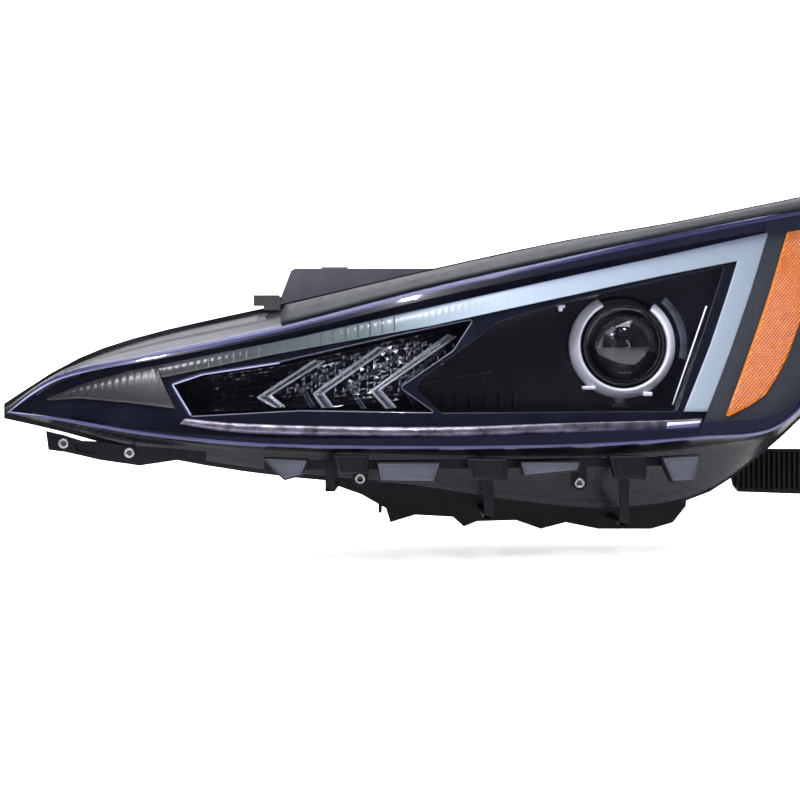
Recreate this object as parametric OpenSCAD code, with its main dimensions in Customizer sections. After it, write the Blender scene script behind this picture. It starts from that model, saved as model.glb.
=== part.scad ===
// Left-hand car headlight: clear outer lens, black housing, projector low/high beam,
// daytime running light guide, turn signal with three chevron blades, side reflector.
// Drawing frame: X to the outboard end, Y rearward, Z up, Y = 0 at the lens tip.
// The finished part is shifted so that the eye of the upper inner mount is the origin.

/* [Outer lens] */
// Wall thickness of the clear outer lens
lens_wall = 2.8; // [2.2:0.1:3.2]
// Width of the housing flange outside the lens rim
flange_w = 4; // [3.5:0.1:4.5]

/* [Housing] */
// Wall thickness of the housing bowl
bowl_wall = 2.6; // [2.2:0.1:3.2]
// Radius of the eye in the upper inner mount
eye_r = 4.2; // [3.2:0.1:4.6]
// Radius of the eye in the upper outer mount
outer_eye_r = 4.2; // [3.2:0.1:4.6]
// Radius of the eye in the fender mount
fender_eye_r = 3.3; // [2.8:0.1:3.6]
// Radius of the lower locating pin
locator_r = 4; // [3:0.1:5]

/* [Projector] */
// Radius of the projector lens
lens_r = 35; // [34:0.1:35.2]
// Height of the projector lens dome
dome_h = 16; // [12:0.5:18]
// Radius of the bulb's glass capsule
capsule_r = 5.5; // [4.5:0.1:6]

/* [Aiming] */
// Radius of the aiming screw's journal
journal_r = 4; // [3.5:0.1:4.2]
// Radius of the aiming screw's thread
thread_r = 3; // [2.5:0.1:3.2]
// Running clearance of pins and journals, on the radius
run = 0.06; // [0.04:0.01:0.1]

/* [Fasteners] */
// Head radius of the bracket screws
screw_head_r = 4.4; // [3.6:0.1:4.8]
// Shank radius of the bracket screws
screw_r = 2.2; // [1.8:0.1:2.4]

/* [Hidden] */
$fn = 48;

// Eye of the upper inner mount in the drawing frame: the part's origin
eye = [-65, 254, 132];

// ---- curves -------------------------------------------------------------

function mix(a, b, s) = a + (b - a) * s;
function unit(v) = v / max(norm(v), 1e-6);
function smooth(s) = let (c = min(max(s, 0), 1)) c * c * (3 - 2 * c);

// Point at t (0 to 1) on a smooth curve through the points P
function curve(P, t) =
  let (n = len(P) - 1,
       k = min(floor(t * n), n - 1),
       s = t * n - k,
       a = P[max(k - 1, 0)],
       b = P[k],
       c = P[k + 1],
       d = P[min(k + 2, n)])
  0.5 * (2 * b + (c - a) * s + (2 * a - 5 * b + 4 * c - d) * s * s + (3 * b - a - 3 * c + d) * s * s * s);

// Point at t on the straight-sided path through P
function path(P, t) =
  let (n = len(P) - 1, k = min(floor(t * n), n - 1)) mix(P[k], P[k + 1], t * n - k);

function sampled(P, n) = [for (i = [0:n]) curve(P, i / n)];

// Depth of the lens face at a place in the front view
tip_x = -316;
span_x = 760;
function face_y(x, z) =
  let (q = max(0, (x - tip_x) / span_x))
  8 + 30 * q + 150 * q * q * q + 0.22 * z + 0.0006 * (z - 30) * (z - 30);

// Upper and lower edge of the lens face, in pairs from the tip to the outboard end
lens_top = [[-318, -9], [-276, 20.3], [-204, 36.8], [-99, 60.4], [25, 94.4], [144, 124.1],
            [242, 148.6], [350, 174.4], [387, 183], [419, 191], [451, 197.4]];
lens_bottom = [[-318, -10.5], [-274, -16.9], [-202, -29.1], [-110, -37.7], [0, -40.4], [100, -40.4],
               [179, -38.7], [262, -34.1], [339, -26.1], [392, 21.4], [430, 106]];

// Outer edge of the housing flange, above and below, in the same pairs
flange_top = [[-323, 16, -3], [-270, 33, 33], [-210, 50, 56], [-100, 72, 83], [26, 102, 115.5],
              [149, 127, 144.5], [247, 152, 163.5], [355, 205, 190], [393, 228, 200],
              [425, 250, 208], [457, 272, 216]];
flange_bottom = [[-323, 16, -15], [-278, 24, -26], [-207, 38, -46], [-115, 57, -63], [0, 78, -76],
                 [108, 99, -93], [188, 118, -100], [275, 146, -89], [352, 184, -44],
                 [412, 214, 12], [452, 252, 104]];

// ---- solids from point grids --------------------------------------------

// Closed solid through loops of points; ring = true joins the last loop to the first
module skin(loops, ring = false) {
  n = len(loops[0]);
  m = len(loops);
  first_hub = m * n;
  hubs = ring ? [] : [for (k = [0, m - 1]) [for (a = [0:2]) mean(loops[k], a)]];
  sides = [for (i = [0:m - (ring ? 1 : 2)]) for (j = [0:n - 1])
    let (a = i * n + j,
         b = i * n + (j + 1) % n,
         c = ((i + 1) % m) * n + (j + 1) % n,
         d = ((i + 1) % m) * n + j)
    each [[a, c, b], [a, d, c]]];
  caps = ring ? [] : [for (j = [0:n - 1])
    each [[first_hub, j, (j + 1) % n], [first_hub + 1, (m - 1) * n + (j + 1) % n, (m - 1) * n + j]]];
  polyhedron(concat([for (l = loops) each l], hubs), concat(sides, caps), convexity = 10);
}
function mean(L, a) = total([for (p = L) p[a]]) / len(L);
function total(v, i = 0) = i < len(v) ? v[i] + total(v, i + 1) : 0;

// Closed sheet between a front grid and a back grid; columns run left to right, rows top down
module sheet(front, back) {
  m = len(front);
  n = len(front[0]);
  points = concat([for (c = front) each c], [for (c = back) each c]);
  f = function (i, j) i * n + j;
  g = function (i, j) m * n + i * n + j;
  faces = concat(
    [for (i = [0:m - 2]) for (j = [0:n - 2])
      each [[f(i, j), f(i + 1, j), f(i + 1, j + 1)], [f(i, j), f(i + 1, j + 1), f(i, j + 1)],
            [g(i + 1, j + 1), g(i + 1, j), g(i, j)], [g(i, j + 1), g(i + 1, j + 1), g(i, j)]]],
    [for (i = [0:m - 2])
      each [[f(i + 1, 0), f(i, 0), g(i, 0)], [f(i + 1, 0), g(i, 0), g(i + 1, 0)],
            [f(i, n - 1), f(i + 1, n - 1), g(i + 1, n - 1)], [f(i, n - 1), g(i + 1, n - 1), g(i, n - 1)]]],
    [for (j = [0:n - 2])
      each [[f(0, j), f(0, j + 1), g(0, j + 1)], [f(0, j), g(0, j + 1), g(0, j)],
            [f(m - 1, j + 1), f(m - 1, j), g(m - 1, j)],
            [f(m - 1, j + 1), g(m - 1, j), g(m - 1, j + 1)]]]);
  polyhedron(points, faces, convexity = 10);
}

// Panel that follows the lens face: edges P and Q in the front view, a distance behind the face
module panel(P, Q, depth, thick, rows) {
  at = function (i, j, d) let (p = mix(P[i], Q[i], j / rows)) [p[0], face_y(p[0], p[1]) + depth + d, p[1]];
  sheet([for (i = [0:len(P) - 1]) [for (j = [0:rows]) at(i, j, 0)]],
        [for (i = [0:len(P) - 1]) [for (j = [0:rows]) at(i, j, thick)]]);
}

// Bar with its outline in the front view, from y0 to y1
module bar(outline, y0, y1) {
  translate([0, y1, 0]) rotate([90, 0, 0]) linear_extrude(y1 - y0) polygon(outline);
}
// Turns children so that their Z axis points rearward from a place
module rearward(at) {
  translate(at) rotate([-90, 0, 0]) children();
}
module tube(r_out, r_in, h) {
  difference() {
    cylinder(r = r_out, h = h);
    translate([0, 0, -1]) cylinder(r = r_in, h = h + 2);
  }
}
module box(lo, hi) {
  translate(lo) cube(hi - lo);
}

// ---- outer lens ---------------------------------------------------------

lens_cols = 40;
face_rows = 7;
skirt_bulge = 3;

function rim_top(t, d) = curve(flange_top, t) + [mix(3, -1.5, t), 0, -flange_w - d];
function rim_bottom(t, d) = curve(flange_bottom, t) + [mix(3, -1.5, t), 0, flange_w + d];
function face_at(t, s, d) =
  let (p = mix(curve(lens_top, t) - [0, d], curve(lens_bottom, t) + [0, d], s))
  [p[0], face_y(p[0], p[1]) + d, p[1]];

// One column of the lens, from the upper rim over the face to the lower rim
function lens_column(t, d) =
  let (a = rim_top(t, d), b = face_at(t, 0, d), c = face_at(t, 1, d), e = rim_bottom(t, d),
       upper = mix(a, b, 0.5) + [0, -skirt_bulge * 0.5, skirt_bulge * 0.5],
       lower = [mix(c[0], e[0], 0.5), mix(c[1], e[1], 0.5), mix(c[2], e[2], 0.18)])
  concat([a, upper], [for (j = [0:face_rows]) face_at(t, j / face_rows, d)], [lower, e]);
// Rear edge of the lens at its outboard end
function lens_end(d) =
  let (n = face_rows + 4)
  [for (j = [0:n]) mix(rim_top(1, d), rim_bottom(1, d), j / n) + [0.5 - d, 0, 0]];
function lens_grid(d, t0, t1) =
  concat([for (i = [0:lens_cols]) lens_column(mix(t0, t1, i / lens_cols), d)], [lens_end(d)]);

module outer_lens() {
  color([0.86, 0.88, 0.96, 0.35])
    sheet(reversed(lens_grid(lens_wall, 0.026, 0.992)), reversed(lens_grid(0, 0, 1)));
}

// ---- housing ------------------------------------------------------------

ring_cols = 28;
end_cols = 4;
back_centre = [70, 22];
back_scale = [0.7, 0.74];

// Depth of the back wall along the lamp
function back_y(x) = 125 + 140 * smooth((x + 220) / 300);

// Loop round the lamp, d inside the flange's outer edge, pushed back by dy
function rim_ring(d, dy, end = 0.003) =
  let (t0 = 0.013 * d, t1 = 1 - end * d)
  concat(
    [for (i = [0:ring_cols]) curve(flange_top, mix(t0, t1, i / ring_cols)) + [0, dy, -d]],
    [for (i = [1:end_cols]) mix(curve(flange_top, t1) - [0, 0, d], curve(flange_bottom, t1) + [0, 0, d],
                                i / (end_cols + 1)) + [2, dy, 0]],
    [for (i = [ring_cols:-1:0]) curve(flange_bottom, mix(t0, t1, i / ring_cols)) + [0, dy, d]]);

// The rim loop carried towards the back wall along a rounded-box quarter turn, a from 0 to 90
function bowl_loop(d, dy, a, wall) =
  let (fx = 1 - pow(cos(a), 0.6), fy = pow(sin(a), 0.8))
  [for (p = rim_ring(d, dy))
    let (xb = back_centre[0] + (p[0] - back_centre[0]) * back_scale[0],
         zb = back_centre[1] + (p[2] - back_centre[1]) * back_scale[1])
    [mix(p[0], xb, fx), mix(p[1], back_y(xb) - wall, fy), mix(p[2], zb, fx)]];
bowl_turn = [14, 34, 54, 72, 90];

// Back plate loop, shrunk about the back wall's centre
function back_loop(d, wall, k) =
  [for (p = bowl_loop(d, 0, 90, wall))
    let (x = mix(back_centre[0], p[0], k), z = mix(back_centre[1], p[2], k)) [x, back_y(x) - wall, z]];

module bowl(d, front, wall) {
  skin(concat([rim_ring(d, front)], [for (a = bowl_turn) bowl_loop(d, max(front, 4), a, wall)],
              [for (k = [0.7, 0.35]) back_loop(d, wall, k)]));
}
groove = 3.5;     // the flange lies this far behind the lens rim
flange_t = 3.2;

cap_at = [206, 0, 50.5];
collar_y = [258, 284];
collar_r = 50;
collar_bore = 46;
groove_r = 48.5;
turn_at = [-62, 0, 12];
turn_seat = 214;
marker_at = [318, 0, 118];
marker_seat = 270;
socket_bore = 13;
seat_r = 18;
screw_at = [240, 0, -11.5];
plug_at = [119, 265.3, -18];
outer_eye = [250, 280, 150];
fender_eye = [416, 0, 60];
locator = [120, 187, -106];
wall_y = 265;     // outer face of the flat back wall
bush_r = 8;
screw_places = [[-276, 27, -35.4], [-222, 27, -43.2], [-33, 39, -65], [154, 74, -71]];
// Legs of the bumper bracket: place along the lamp, and the height of the foot under the rim
legs = [[-58, -76], [75, -100], [195, -109]];

box_front = 150;
box_rear = 240;
module upper_box() {
  bar([[-112.5, 87], [-100.5, 118.5], [-97, 121], [57, 121], [57, 70], [-95, 60]], box_front, box_front + 3);
  hull() {
    bar([[-99, 117.5], [-97, 121], [57, 121], [57, 117.5]], box_front, box_front + 3);
    bar([[-104, 126.5], [-102, 130], [60, 129], [60, 125.5]], box_rear - 3, box_rear);
  }
  for (x = [-92, -54, -20, 20, 54])
    box([x, box_front + 2, 50], [x + 3, box_rear - 2, 119]);
}

// Ragged lower edge: a cross web with drain tabs, stiffened by fins
web_y = 154;
module lower_fins() {
  bar([[-90, -55], [-59, -79], [-36, -87], [-13, -100], [-9, -113], [14, -106], [49, -108], [59, -117],
       [71, -112], [107, -111], [130, -119], [153, -113], [183, -119], [232, -119], [252, -113],
       [264, -98], [266, -60], [100, -40]], web_y, web_y + 4);
  for (x = [-20, 40, 160, 220])
    box([x, web_y - 2, -104], [x + 3, 200, -40]);
}

// Bowl and rim flange as one wall: out along the inside, round the flange, back along the outside
module bowl_shell() {
  back_steps = [0.7, 0.35];
  skin(concat(
    [for (k = reversed(back_steps)) back_loop(10, bowl_wall, k)],
    [for (a = reversed(bowl_turn)) bowl_loop(10, groove, a, bowl_wall)],
    [for (q = [[10, groove], [0, groove], [0, groove + flange_t], [6, groove + flange_t]]) rim_ring(q[0], q[1])],
    [for (a = bowl_turn) bowl_loop(6, groove + flange_t, a, 0)],
    [for (k = back_steps) back_loop(6, 0, k)]));
}
function reversed(v) = [for (i = [len(v) - 1:-1:0]) v[i]];

module housing() {
  $fn = 32;
  color([0.055, 0.06, 0.075])
  resize([0, 0, 0])
  difference() {
    bowl_shell();
    rearward([cap_at[0], 240, cap_at[2]]) cylinder(r = collar_r + 0.5, h = 60);
    rearward([turn_at[0], 170, turn_at[2]]) cylinder(r = seat_r + 0.5, h = 60);
    rearward([marker_at[0], 180, marker_at[2]]) cylinder(r = seat_r + 0.5, h = 90);
    rearward([screw_at[0], 240, screw_at[2]]) cylinder(r = bush_r + 0.3, h = 40);
    box([plug_at[0] - 19, 240, plug_at[2] - 9], [plug_at[0] + 19, 270, plug_at[2] + 9]);
  }
}

// Room taken by the housing, with a welding gap round it
module housing_room() {
  bowl(6 - weld_gap, -12, -weld_gap);
}
weld_gap = 0.3;

// Carrier of the upper mount, welded to the top of the housing
module upper_carrier() {
  color([0.33, 0.32, 0.38])
  resize([0, 0, 0])
  difference() {
    upper_box();
    housing_room();
  }
}

// Ragged lower web with drain tabs, welded under the housing
module lower_web() {
  color([0.05, 0.055, 0.07])
  resize([0, 0, 0])
  difference() {
    union() {
      lower_fins();
      box([locator[0] - 12, web_y + 2, locator[2] + 13.1], [locator[0] + 12, 206, locator[2] + 17]);
      box([locator[0] - 1.5, web_y + 2, locator[2] + 15], [locator[0] + 1.5, 206, -50]);
    }
    housing_room();
  }
}

// Seats of the turn signal socket and the side marker socket
module lamp_seats() {
  color([0.07, 0.07, 0.075]) {
    rearward([turn_at[0], 186, turn_at[2]]) tube(seat_r, socket_bore, turn_seat - 186);
    rearward([marker_at[0], 246, marker_at[2]]) tube(seat_r, socket_bore, marker_seat - 246);
  }
}

// Ring with the bayonet that the rear cap locks into
module cap_ring() {
  color([0.07, 0.07, 0.075])
  difference() {
    union() {
      on_axis(collar_y[0]) cylinder(r = collar_r, h = collar_y[1] - collar_y[0]);
      on_axis(wall_y + 0.2) cylinder(r = collar_r + 5, h = 3);
    }
    on_axis(240) cylinder(r = 44, h = 60);
    on_axis(271) cylinder(r = collar_bore, h = 20);
    on_axis(265) cylinder(r = groove_r, h = 6);
    for (a = [45, 165, 285])
      on_axis(265) rotate([0, 0, a]) translate([40, -8, 0]) cube([groove_r - 40, 16, 30]);
  }
}

module aim_bush() {
  color([0.85, 0.85, 0.8])
    rearward([screw_at[0], 250, screw_at[2]]) difference() {
      union() {
        cylinder(r = bush_r, h = 22);
        translate([0, 0, 15.3]) cylinder(r = bush_r + 3, h = 3);
      }
      translate([0, 0, -1]) cylinder(r = journal_r + run, h = 24);
    }
}

// Mounting brackets: each has one eye for a bolt into the car's body
module upper_mount() {
  color([0.5, 0.51, 0.54])
  difference() {
    union() {
      box([eye[0] - 13, 240.3, eye[2] - 8], [eye[0] + 13, eye[1], eye[2]]);
      translate([eye[0], eye[1], eye[2] - 8]) cylinder(r = 13, h = 8);
      box([eye[0] - 13, 240.3, eye[2] - 30], [eye[0] + 13, 243.3, eye[2] - 8]);
    }
    translate([eye[0], eye[1], eye[2] - 20]) cylinder(r = eye_r, h = 30);
  }
}
module outer_mount() {
  color([0.5, 0.51, 0.54])
  difference() {
    union() {
      box([outer_eye[0] - 13, wall_y + 0.2, outer_eye[2] - 6], [outer_eye[0] + 13, outer_eye[1], outer_eye[2]]);
      translate([outer_eye[0], outer_eye[1], outer_eye[2] - 6]) cylinder(r = 13, h = 6);
      box([outer_eye[0] - 13, wall_y + 0.2, outer_eye[2] - 40], [outer_eye[0] + 13, wall_y + 3.2, outer_eye[2]]);
    }
    translate([outer_eye[0], outer_eye[1], outer_eye[2] - 20]) cylinder(r = outer_eye_r, h = 30);
  }
}
module fender_mount() {
  color([0.5, 0.51, 0.54])
  difference() {
    union() {
      box([302, wall_y + 0.2, fender_eye[2] - 12], [fender_eye[0], wall_y + 4.2, fender_eye[2] + 12]);
      rearward([fender_eye[0], wall_y + 0.2, fender_eye[2]]) cylinder(r = 12, h = 4);
    }
    rearward([fender_eye[0], wall_y - 20, fender_eye[2]]) cylinder(r = fender_eye_r, h = 40);
  }
}
module locating_pin() {
  color([0.5, 0.51, 0.54]) {
    translate(locator) cylinder(r = locator_r, h = 11);
    translate([locator[0] - 11, 170, locator[2] + 10]) cube([22, 34, 3]);
  }
}

module lens_sealant() {
  color([0.02, 0.02, 0.02])
    skin([for (q = [[4.3, 1.3], [4.3, groove - 1], [8.5, groove - 1], [8.5, 1.3]])
          rim_ring(q[0], q[1], 0.009)], ring = true);
}

// Weather strip that lies on the upper skirt of the lens, under the bonnet's edge
strip_t0 = 0.3;
strip_gap = 0.5;
strip_t = 3;
function strip_row(t, s, lift) =
  let (c = lens_column(t, 0), p = s < 0.5 ? mix(c[0], c[1], s * 2) : mix(c[1], c[2], s * 2 - 1))
  p + lift * [0, -0.45, 0.89];
module hood_seal_strip() {
  color([0.24, 0.255, 0.28])
    sheet([for (i = [0:24]) [for (j = [0:4]) strip_row(mix(strip_t0, 0.995, i / 24), j / 4.4, strip_gap + strip_t)]],
          [for (i = [0:24]) [for (j = [0:4]) strip_row(mix(strip_t0, 0.995, i / 24), j / 4.4, strip_gap)]]);
}

module hood_clip() {
  color([0.08, 0.08, 0.09]) {
    box([-127, 84, 82], [-105, 92, 91]);
    box([-116, 62, 85], [-102, 86, 88]);
    box([-116, 62, 76.4], [-102, 65, 88]);
  }
}

// ---- inner trim ---------------------------------------------------------

bezel_depth = 13;
bezel_t = 2.5;
bezel_t0 = 0.085; // the main bezel starts here, beyond the tip's sealing face
seam_t = 0.7;     // the main bezel ends and the side bezel starts here

function inside_face(t, s, margin) =
  let (p = curve(lens_top, t) - [0, margin], q = curve(lens_bottom, t) + [0, margin]) mix(p, q, s);

turn_open = [[-188, 13], [-164, 21.7], [-100, 31.4], [-72, 38], [0, 55.2], [62, 68.5], [45, 42.4], [1, 12],
             [1, 9], [28, -10.2], [-83, -8.3], [-172, -13]];
beam_open = [[34, -10.2], [14, 9.6], [18, 17.1], [57, 46], [85, 67], [140, 83.7], [200, 99.4], [300, 123.7],
             [243, -9.7]];
pocket_floor = 170;

// Outline pushed outwards by d in the front view
function grown(P, d) =
  let (n = len(P))
  [for (i = [0:n - 1])
    let (u = unit(P[i] - P[(i + n - 1) % n]), v = unit(P[(i + 1) % n] - P[i]), w = unit(u + v))
    P[i] + d * [-w[1], w[0]]];
// Outline with extra points along each side
function refined(P, k) =
  [for (i = [0:len(P) - 1]) for (s = [0:k - 1]) mix(P[i], P[(i + 1) % len(P)], s / k)];

// Pocket wall from just behind the bezel's front to a rear outline
module pocket_wall(P, depth_front, back_depth, floor_y) {
  inner = refined(grown(P, 0.6), 3);
  outer = refined(grown(P, 2.4), 3);
  front = function (p) [p[0], face_y(p[0], p[1]) + depth_front, p[1]];
  rear = function (p) [p[0], floor_y > 0 ? floor_y : face_y(p[0], p[1]) + back_depth, p[1]];
  skin([[for (p = outer) front(p)], [for (p = outer) rear(p)], [for (p = inner) rear(p)],
        [for (p = inner) front(p)]], ring = true);
}

module bezel() {
  cols = 36;
  color([0.03, 0.035, 0.06])
  resize([0, 0, 0])
  difference() {
    union() {
      difference() {
        panel([for (i = [0:cols]) inside_face(mix(bezel_t0, seam_t, i / cols), 0, 6)],
              [for (i = [0:cols]) inside_face(mix(bezel_t0, seam_t, i / cols), 1, 5)], bezel_depth, bezel_t, 12);
        bar(turn_open, 0, 200);
        bar(beam_open, 0, 260);
      }
      pocket_wall(turn_open, bezel_depth + 1, 50, 0);
      pocket_wall(beam_open, bezel_depth + 1, 0, pocket_floor);
      bar(grown(beam_open, 1.5), pocket_floor - 2.5, pocket_floor);
    }
    on_axis(160) cylinder(r = 47, h = 30);
    // slot that the shutter's lever swings through
    box([cap_at[0] - 7, 160, -6.5], [cap_at[0] + 7, 190, 12]);
  }
}

module side_bezel() {
  cols = 16;
  color([0.2, 0.22, 0.25])
    panel([for (i = [0:cols]) inside_face(mix(seam_t + 0.006, 0.985, i / cols), 0, 6)],
          [for (i = [0:cols]) inside_face(mix(seam_t + 0.006, 0.985, i / cols), 1, 5)], bezel_depth - 1, bezel_t, 8);
}

guide_depth = 9;
guide_t = 2.8;
guide_outer = [[-288, 1.5], [-263, 12.3], [-223, 23.9], [-205, 27.6], [-199, 28.8], [-160, 37], [-100, 49.3],
               [26, 79.1], [143, 107.4], [242, 131.6], [351, 159.7], [326, 102.4], [300, 46], [273, -10.2]];
guide_inner = [[-288, -0.5], [-262, 1], [-222, -2.5], [-184, -7.2], [-197, 17.7], [-160, 26], [-100, 38.7],
               [26, 62.8], [140, 89.3], [234, 111.5], [314, 129.4], [302, 101.4], [278, 47], [250, -10.1]];
module drl_light_guide() {
  k = 3;
  n = (len(guide_outer) - 1) * k;
  color([0.72, 0.78, 0.86])
    panel([for (i = [0:n]) path(guide_outer, i / n)], [for (i = [0:n]) path(guide_inner, i / n)],
          guide_depth, guide_t, 2);
}

// Strip board with the running light's LEDs, behind the guide's upright leg
module drl_circuit_board() {
  color([0.1, 0.3, 0.16])
    panel([for (i = [0:4]) mix([318, 92], [276, -8], i / 4)], [for (i = [0:4]) mix([312, 92], [262, -8], i / 4)],
          24, 1.6, 1);
}

bar_top = [[-176, -14.8], [-131, -18.9], [-50, -21.5], [42, -22.2], [137, -19.6], [236, -17.5], [268, -16.1]];
bar_bottom = [[-180, -20], [-131, -27.1], [-50, -29.7], [42, -30.5], [136, -28.1], [233, -26.9], [263, -25.2]];
module lower_light_bar() {
  color([0.75, 0.78, 0.86])
    panel(sampled(bar_top, 24), sampled(bar_bottom, 24), 8.5, 3.8, 2);
}

module turn_reflector() {
  n = 16;
  top = [[-184, 13], [-164, 20.5], [-100, 30], [-72, 36.5], [0, 53.5], [58, 66]];
  low = [[-172, -10], [-160, -9.5], [-100, -7], [-72, -6.5], [0, 0], [36, 40]];
  at = function (i, j, d) let (p = mix(path(top, i / n), path(low, i / n), j / 8))
    [p[0], face_y(p[0], p[1]) + 52 + d + 16 * sin(180 * j / 8) * smooth(i / 6), p[1]];
  color([0.8, 0.82, 0.85])
  difference() {
    sheet([for (i = [0:n]) [for (j = [0:8]) at(i, j, 0)]], [for (i = [0:n]) [for (j = [0:8]) at(i, j, 2)]]);
    rearward([turn_at[0], 40, turn_at[2]]) cylinder(r = 8, h = 120);
  }
}

// Chevron blade: outer line down one side, inner line down the other
module turn_blade(outer, inner) {
  n = 8;
  color([0.82, 0.85, 0.9])
    panel([for (i = [0:n]) path(outer, i / n)], [for (i = [0:n]) path(inner, i / n)], 38, 6, 1);
}
module turn_blade_inner() {
  turn_blade([[-73, 34.5], [-121, 1.9], [-106, -6.4]], [[-64, 33.5], [-109.5, 4.2], [-97, -6]]);
}
module turn_blade_middle() {
  turn_blade([[-19, 46], [-74, 5.1], [-66, -6.6]], [[-10, 45], [-65, 5.7], [-56, -6.4]]);
}
module turn_blade_outer() {
  turn_blade([[42, 57.5], [-25, 7.4], [-12, -7.4]], [[49, 55], [-17, 9], [-3, -6.6]]);
}

reflex_left = [[372, 161.3], [359, 132], [346, 102.7], [335, 79], [325, 58], [315, 37], [306, 18], [298, 1],
               [291, -13.7]];
reflex_right = [[419, 171.3], [410, 145.9], [393, 104.9], [375, 71.6], [359, 40.4], [346, 21.4], [332, 4.5],
                [316, -4.8], [293, -14.7]];
module side_reflector() {
  color([0.9, 0.42, 0.1])
    panel([for (i = [0:16]) path(reflex_left, i / 16)], [for (i = [0:16]) path(reflex_right, i / 16)], 7, 3.6, 5);
}

// ---- projector ----------------------------------------------------------

axis_z = cap_at[2];
pivot_y = 180;
module on_axis(y) {
  rearward([cap_at[0], y, axis_z]) children();
}
module four_round(r) {
  for (a = [45:90:315]) rotate([0, 0, a]) translate([r, 0, 0]) children();
}
flange_r = 44;
screw_circle = 41;

module projector_ring() {
  color([0.85, 0.87, 0.9])
    on_axis(150) rotate([0, 0, -62]) rotate_extrude(angle = 304)
      polygon([[39.6, 0], [42, -1.5], [49.2, 9], [49.2, 17.2], [46.5, 17.2], [41.2, 4], [40.6, 12], [39.6, 12]]);
}

module projector_lens() {
  ball = (lens_r * lens_r + dome_h * dome_h) / (2 * dome_h);
  color([0.8, 0.88, 0.95, 0.4])
    on_axis(0) rotate_extrude()
      polygon(concat([[0, 154], [lens_r, 154], [lens_r, 150]],
                     [for (i = [1:12]) let (r = lens_r * (1 - i / 12))
                      [r, 150 - (sqrt(ball * ball - r * r) - (ball - dome_h))]]));
}

module lens_holder() {
  color([0.1, 0.1, 0.11])
  difference() {
    on_axis(0) rotate_extrude()
      polygon([[lens_r + 0.25, 149], [37.2, 149], [37.8, 169], [flange_r, 170], [flange_r, 173], [34, 173],
               [32, 158], [32, 154.2], [lens_r + 0.25, 154.2]]);
    on_axis(160) four_round(screw_circle) cylinder(r = 1.8, h = 20);
  }
}

shutter_z = 22;
lever_z = 0;
module shutter_frame() {
  color([0.35, 0.36, 0.38])
  difference() {
    union() {
      on_axis(173.2) tube(flange_r, 36, 12.8);
      box([cap_at[0] - 11, 183.4, -7], [cap_at[0] + 11, 186, 14]);
      // side bosses for the pivot pins
      for (s = [-1, 1])
        translate([cap_at[0] + s * 42, pivot_y, axis_z]) rotate([0, 90, 0]) cylinder(r = 6.3, h = 9, center = true);
      // arm with the fork that the aiming nut works in
      bar([[224, 14], [238, 22], [254, 10], [254, -20], [226, -20], [226, 4]], 174, 186);
    }
    on_axis(165) cylinder(r = 36, h = 30);
    box([cap_at[0] - 9, 172, -10], [cap_at[0] + 9, 183.4, 20]);
    on_axis(160) four_round(screw_circle) cylinder(r = 1.8, h = 40);
    rearward([cap_at[0], 180, lever_z]) cylinder(r = 3, h = 10);
    translate([cap_at[0], pivot_y, shutter_z]) rotate([0, 90, 0]) cylinder(r = 1.5, h = 52, center = true);
    translate([cap_at[0], pivot_y, axis_z]) rotate([0, 90, 0]) cylinder(r = 4, h = 100, center = true);
    // room for the nut between the fork's cheeks, and the slots of its pins
    box([screw_at[0] - 9, 160, -30], [screw_at[0] + 9, 200, 2]);
    box([screw_at[0] - 20, pivot_y - 3.15, -30], [screw_at[0] + 20, pivot_y + 3.15, -5]);
  }
}

module pivot_pins() {
  color([0.7, 0.71, 0.73])
    for (s = [-1, 1])
      translate([cap_at[0] + s * 47.5, pivot_y, axis_z]) rotate([0, 90, 0]) cylinder(r = 3.98, h = 16, center = true);
}

module projector_frame() {
  color([0.12, 0.12, 0.13])
  difference() {
    union() {
      for (s = [-1, 1]) {
        translate([cap_at[0] + s * 51.5, pivot_y, axis_z]) rotate([0, 90, 0]) cylinder(r = 8.5, h = 8, center = true);
        box([cap_at[0] + s * 51.5 - 4, pivot_y, axis_z - 8.5], [cap_at[0] + s * 51.5 + 4, 257, axis_z + 8.5]);
      }
      on_axis(251) tube(60, 46, 6);
    }
    translate([cap_at[0], pivot_y, axis_z]) rotate([0, 90, 0]) cylinder(r = 3.98 + run, h = 140, center = true);
  }
}

module shutter_plate() {
  color([0.6, 0.61, 0.63])
  difference() {
    union() {
      bar([[182, 25.4], [230, 25.4], [230, 48], [208, 48], [203, 50.5], [182, 50.5]], 179.4, 180.6);
      box([cap_at[0] - 11, 179.4, 23], [cap_at[0] + 11, 180.6, 26]);
      translate([cap_at[0], pivot_y, shutter_z]) rotate([0, 90, 0]) cylinder(r = 2.8, h = 24, center = true);
      box([cap_at[0] - 4.5, 179, -3.5], [cap_at[0] + 4.5, 181, 20.5]);
    }
    translate([cap_at[0], pivot_y, shutter_z]) rotate([0, 90, 0]) cylinder(r = 1.49 + run, h = 60, center = true);
    box([cap_at[0] - 2.8, 170, -10], [cap_at[0] + 2.8, 190, 5]);
  }
}
module shutter_pin() {
  color([0.7, 0.71, 0.73])
    translate([cap_at[0], pivot_y, shutter_z]) rotate([0, 90, 0]) cylinder(r = 1.49, h = 51, center = true);
}
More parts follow.
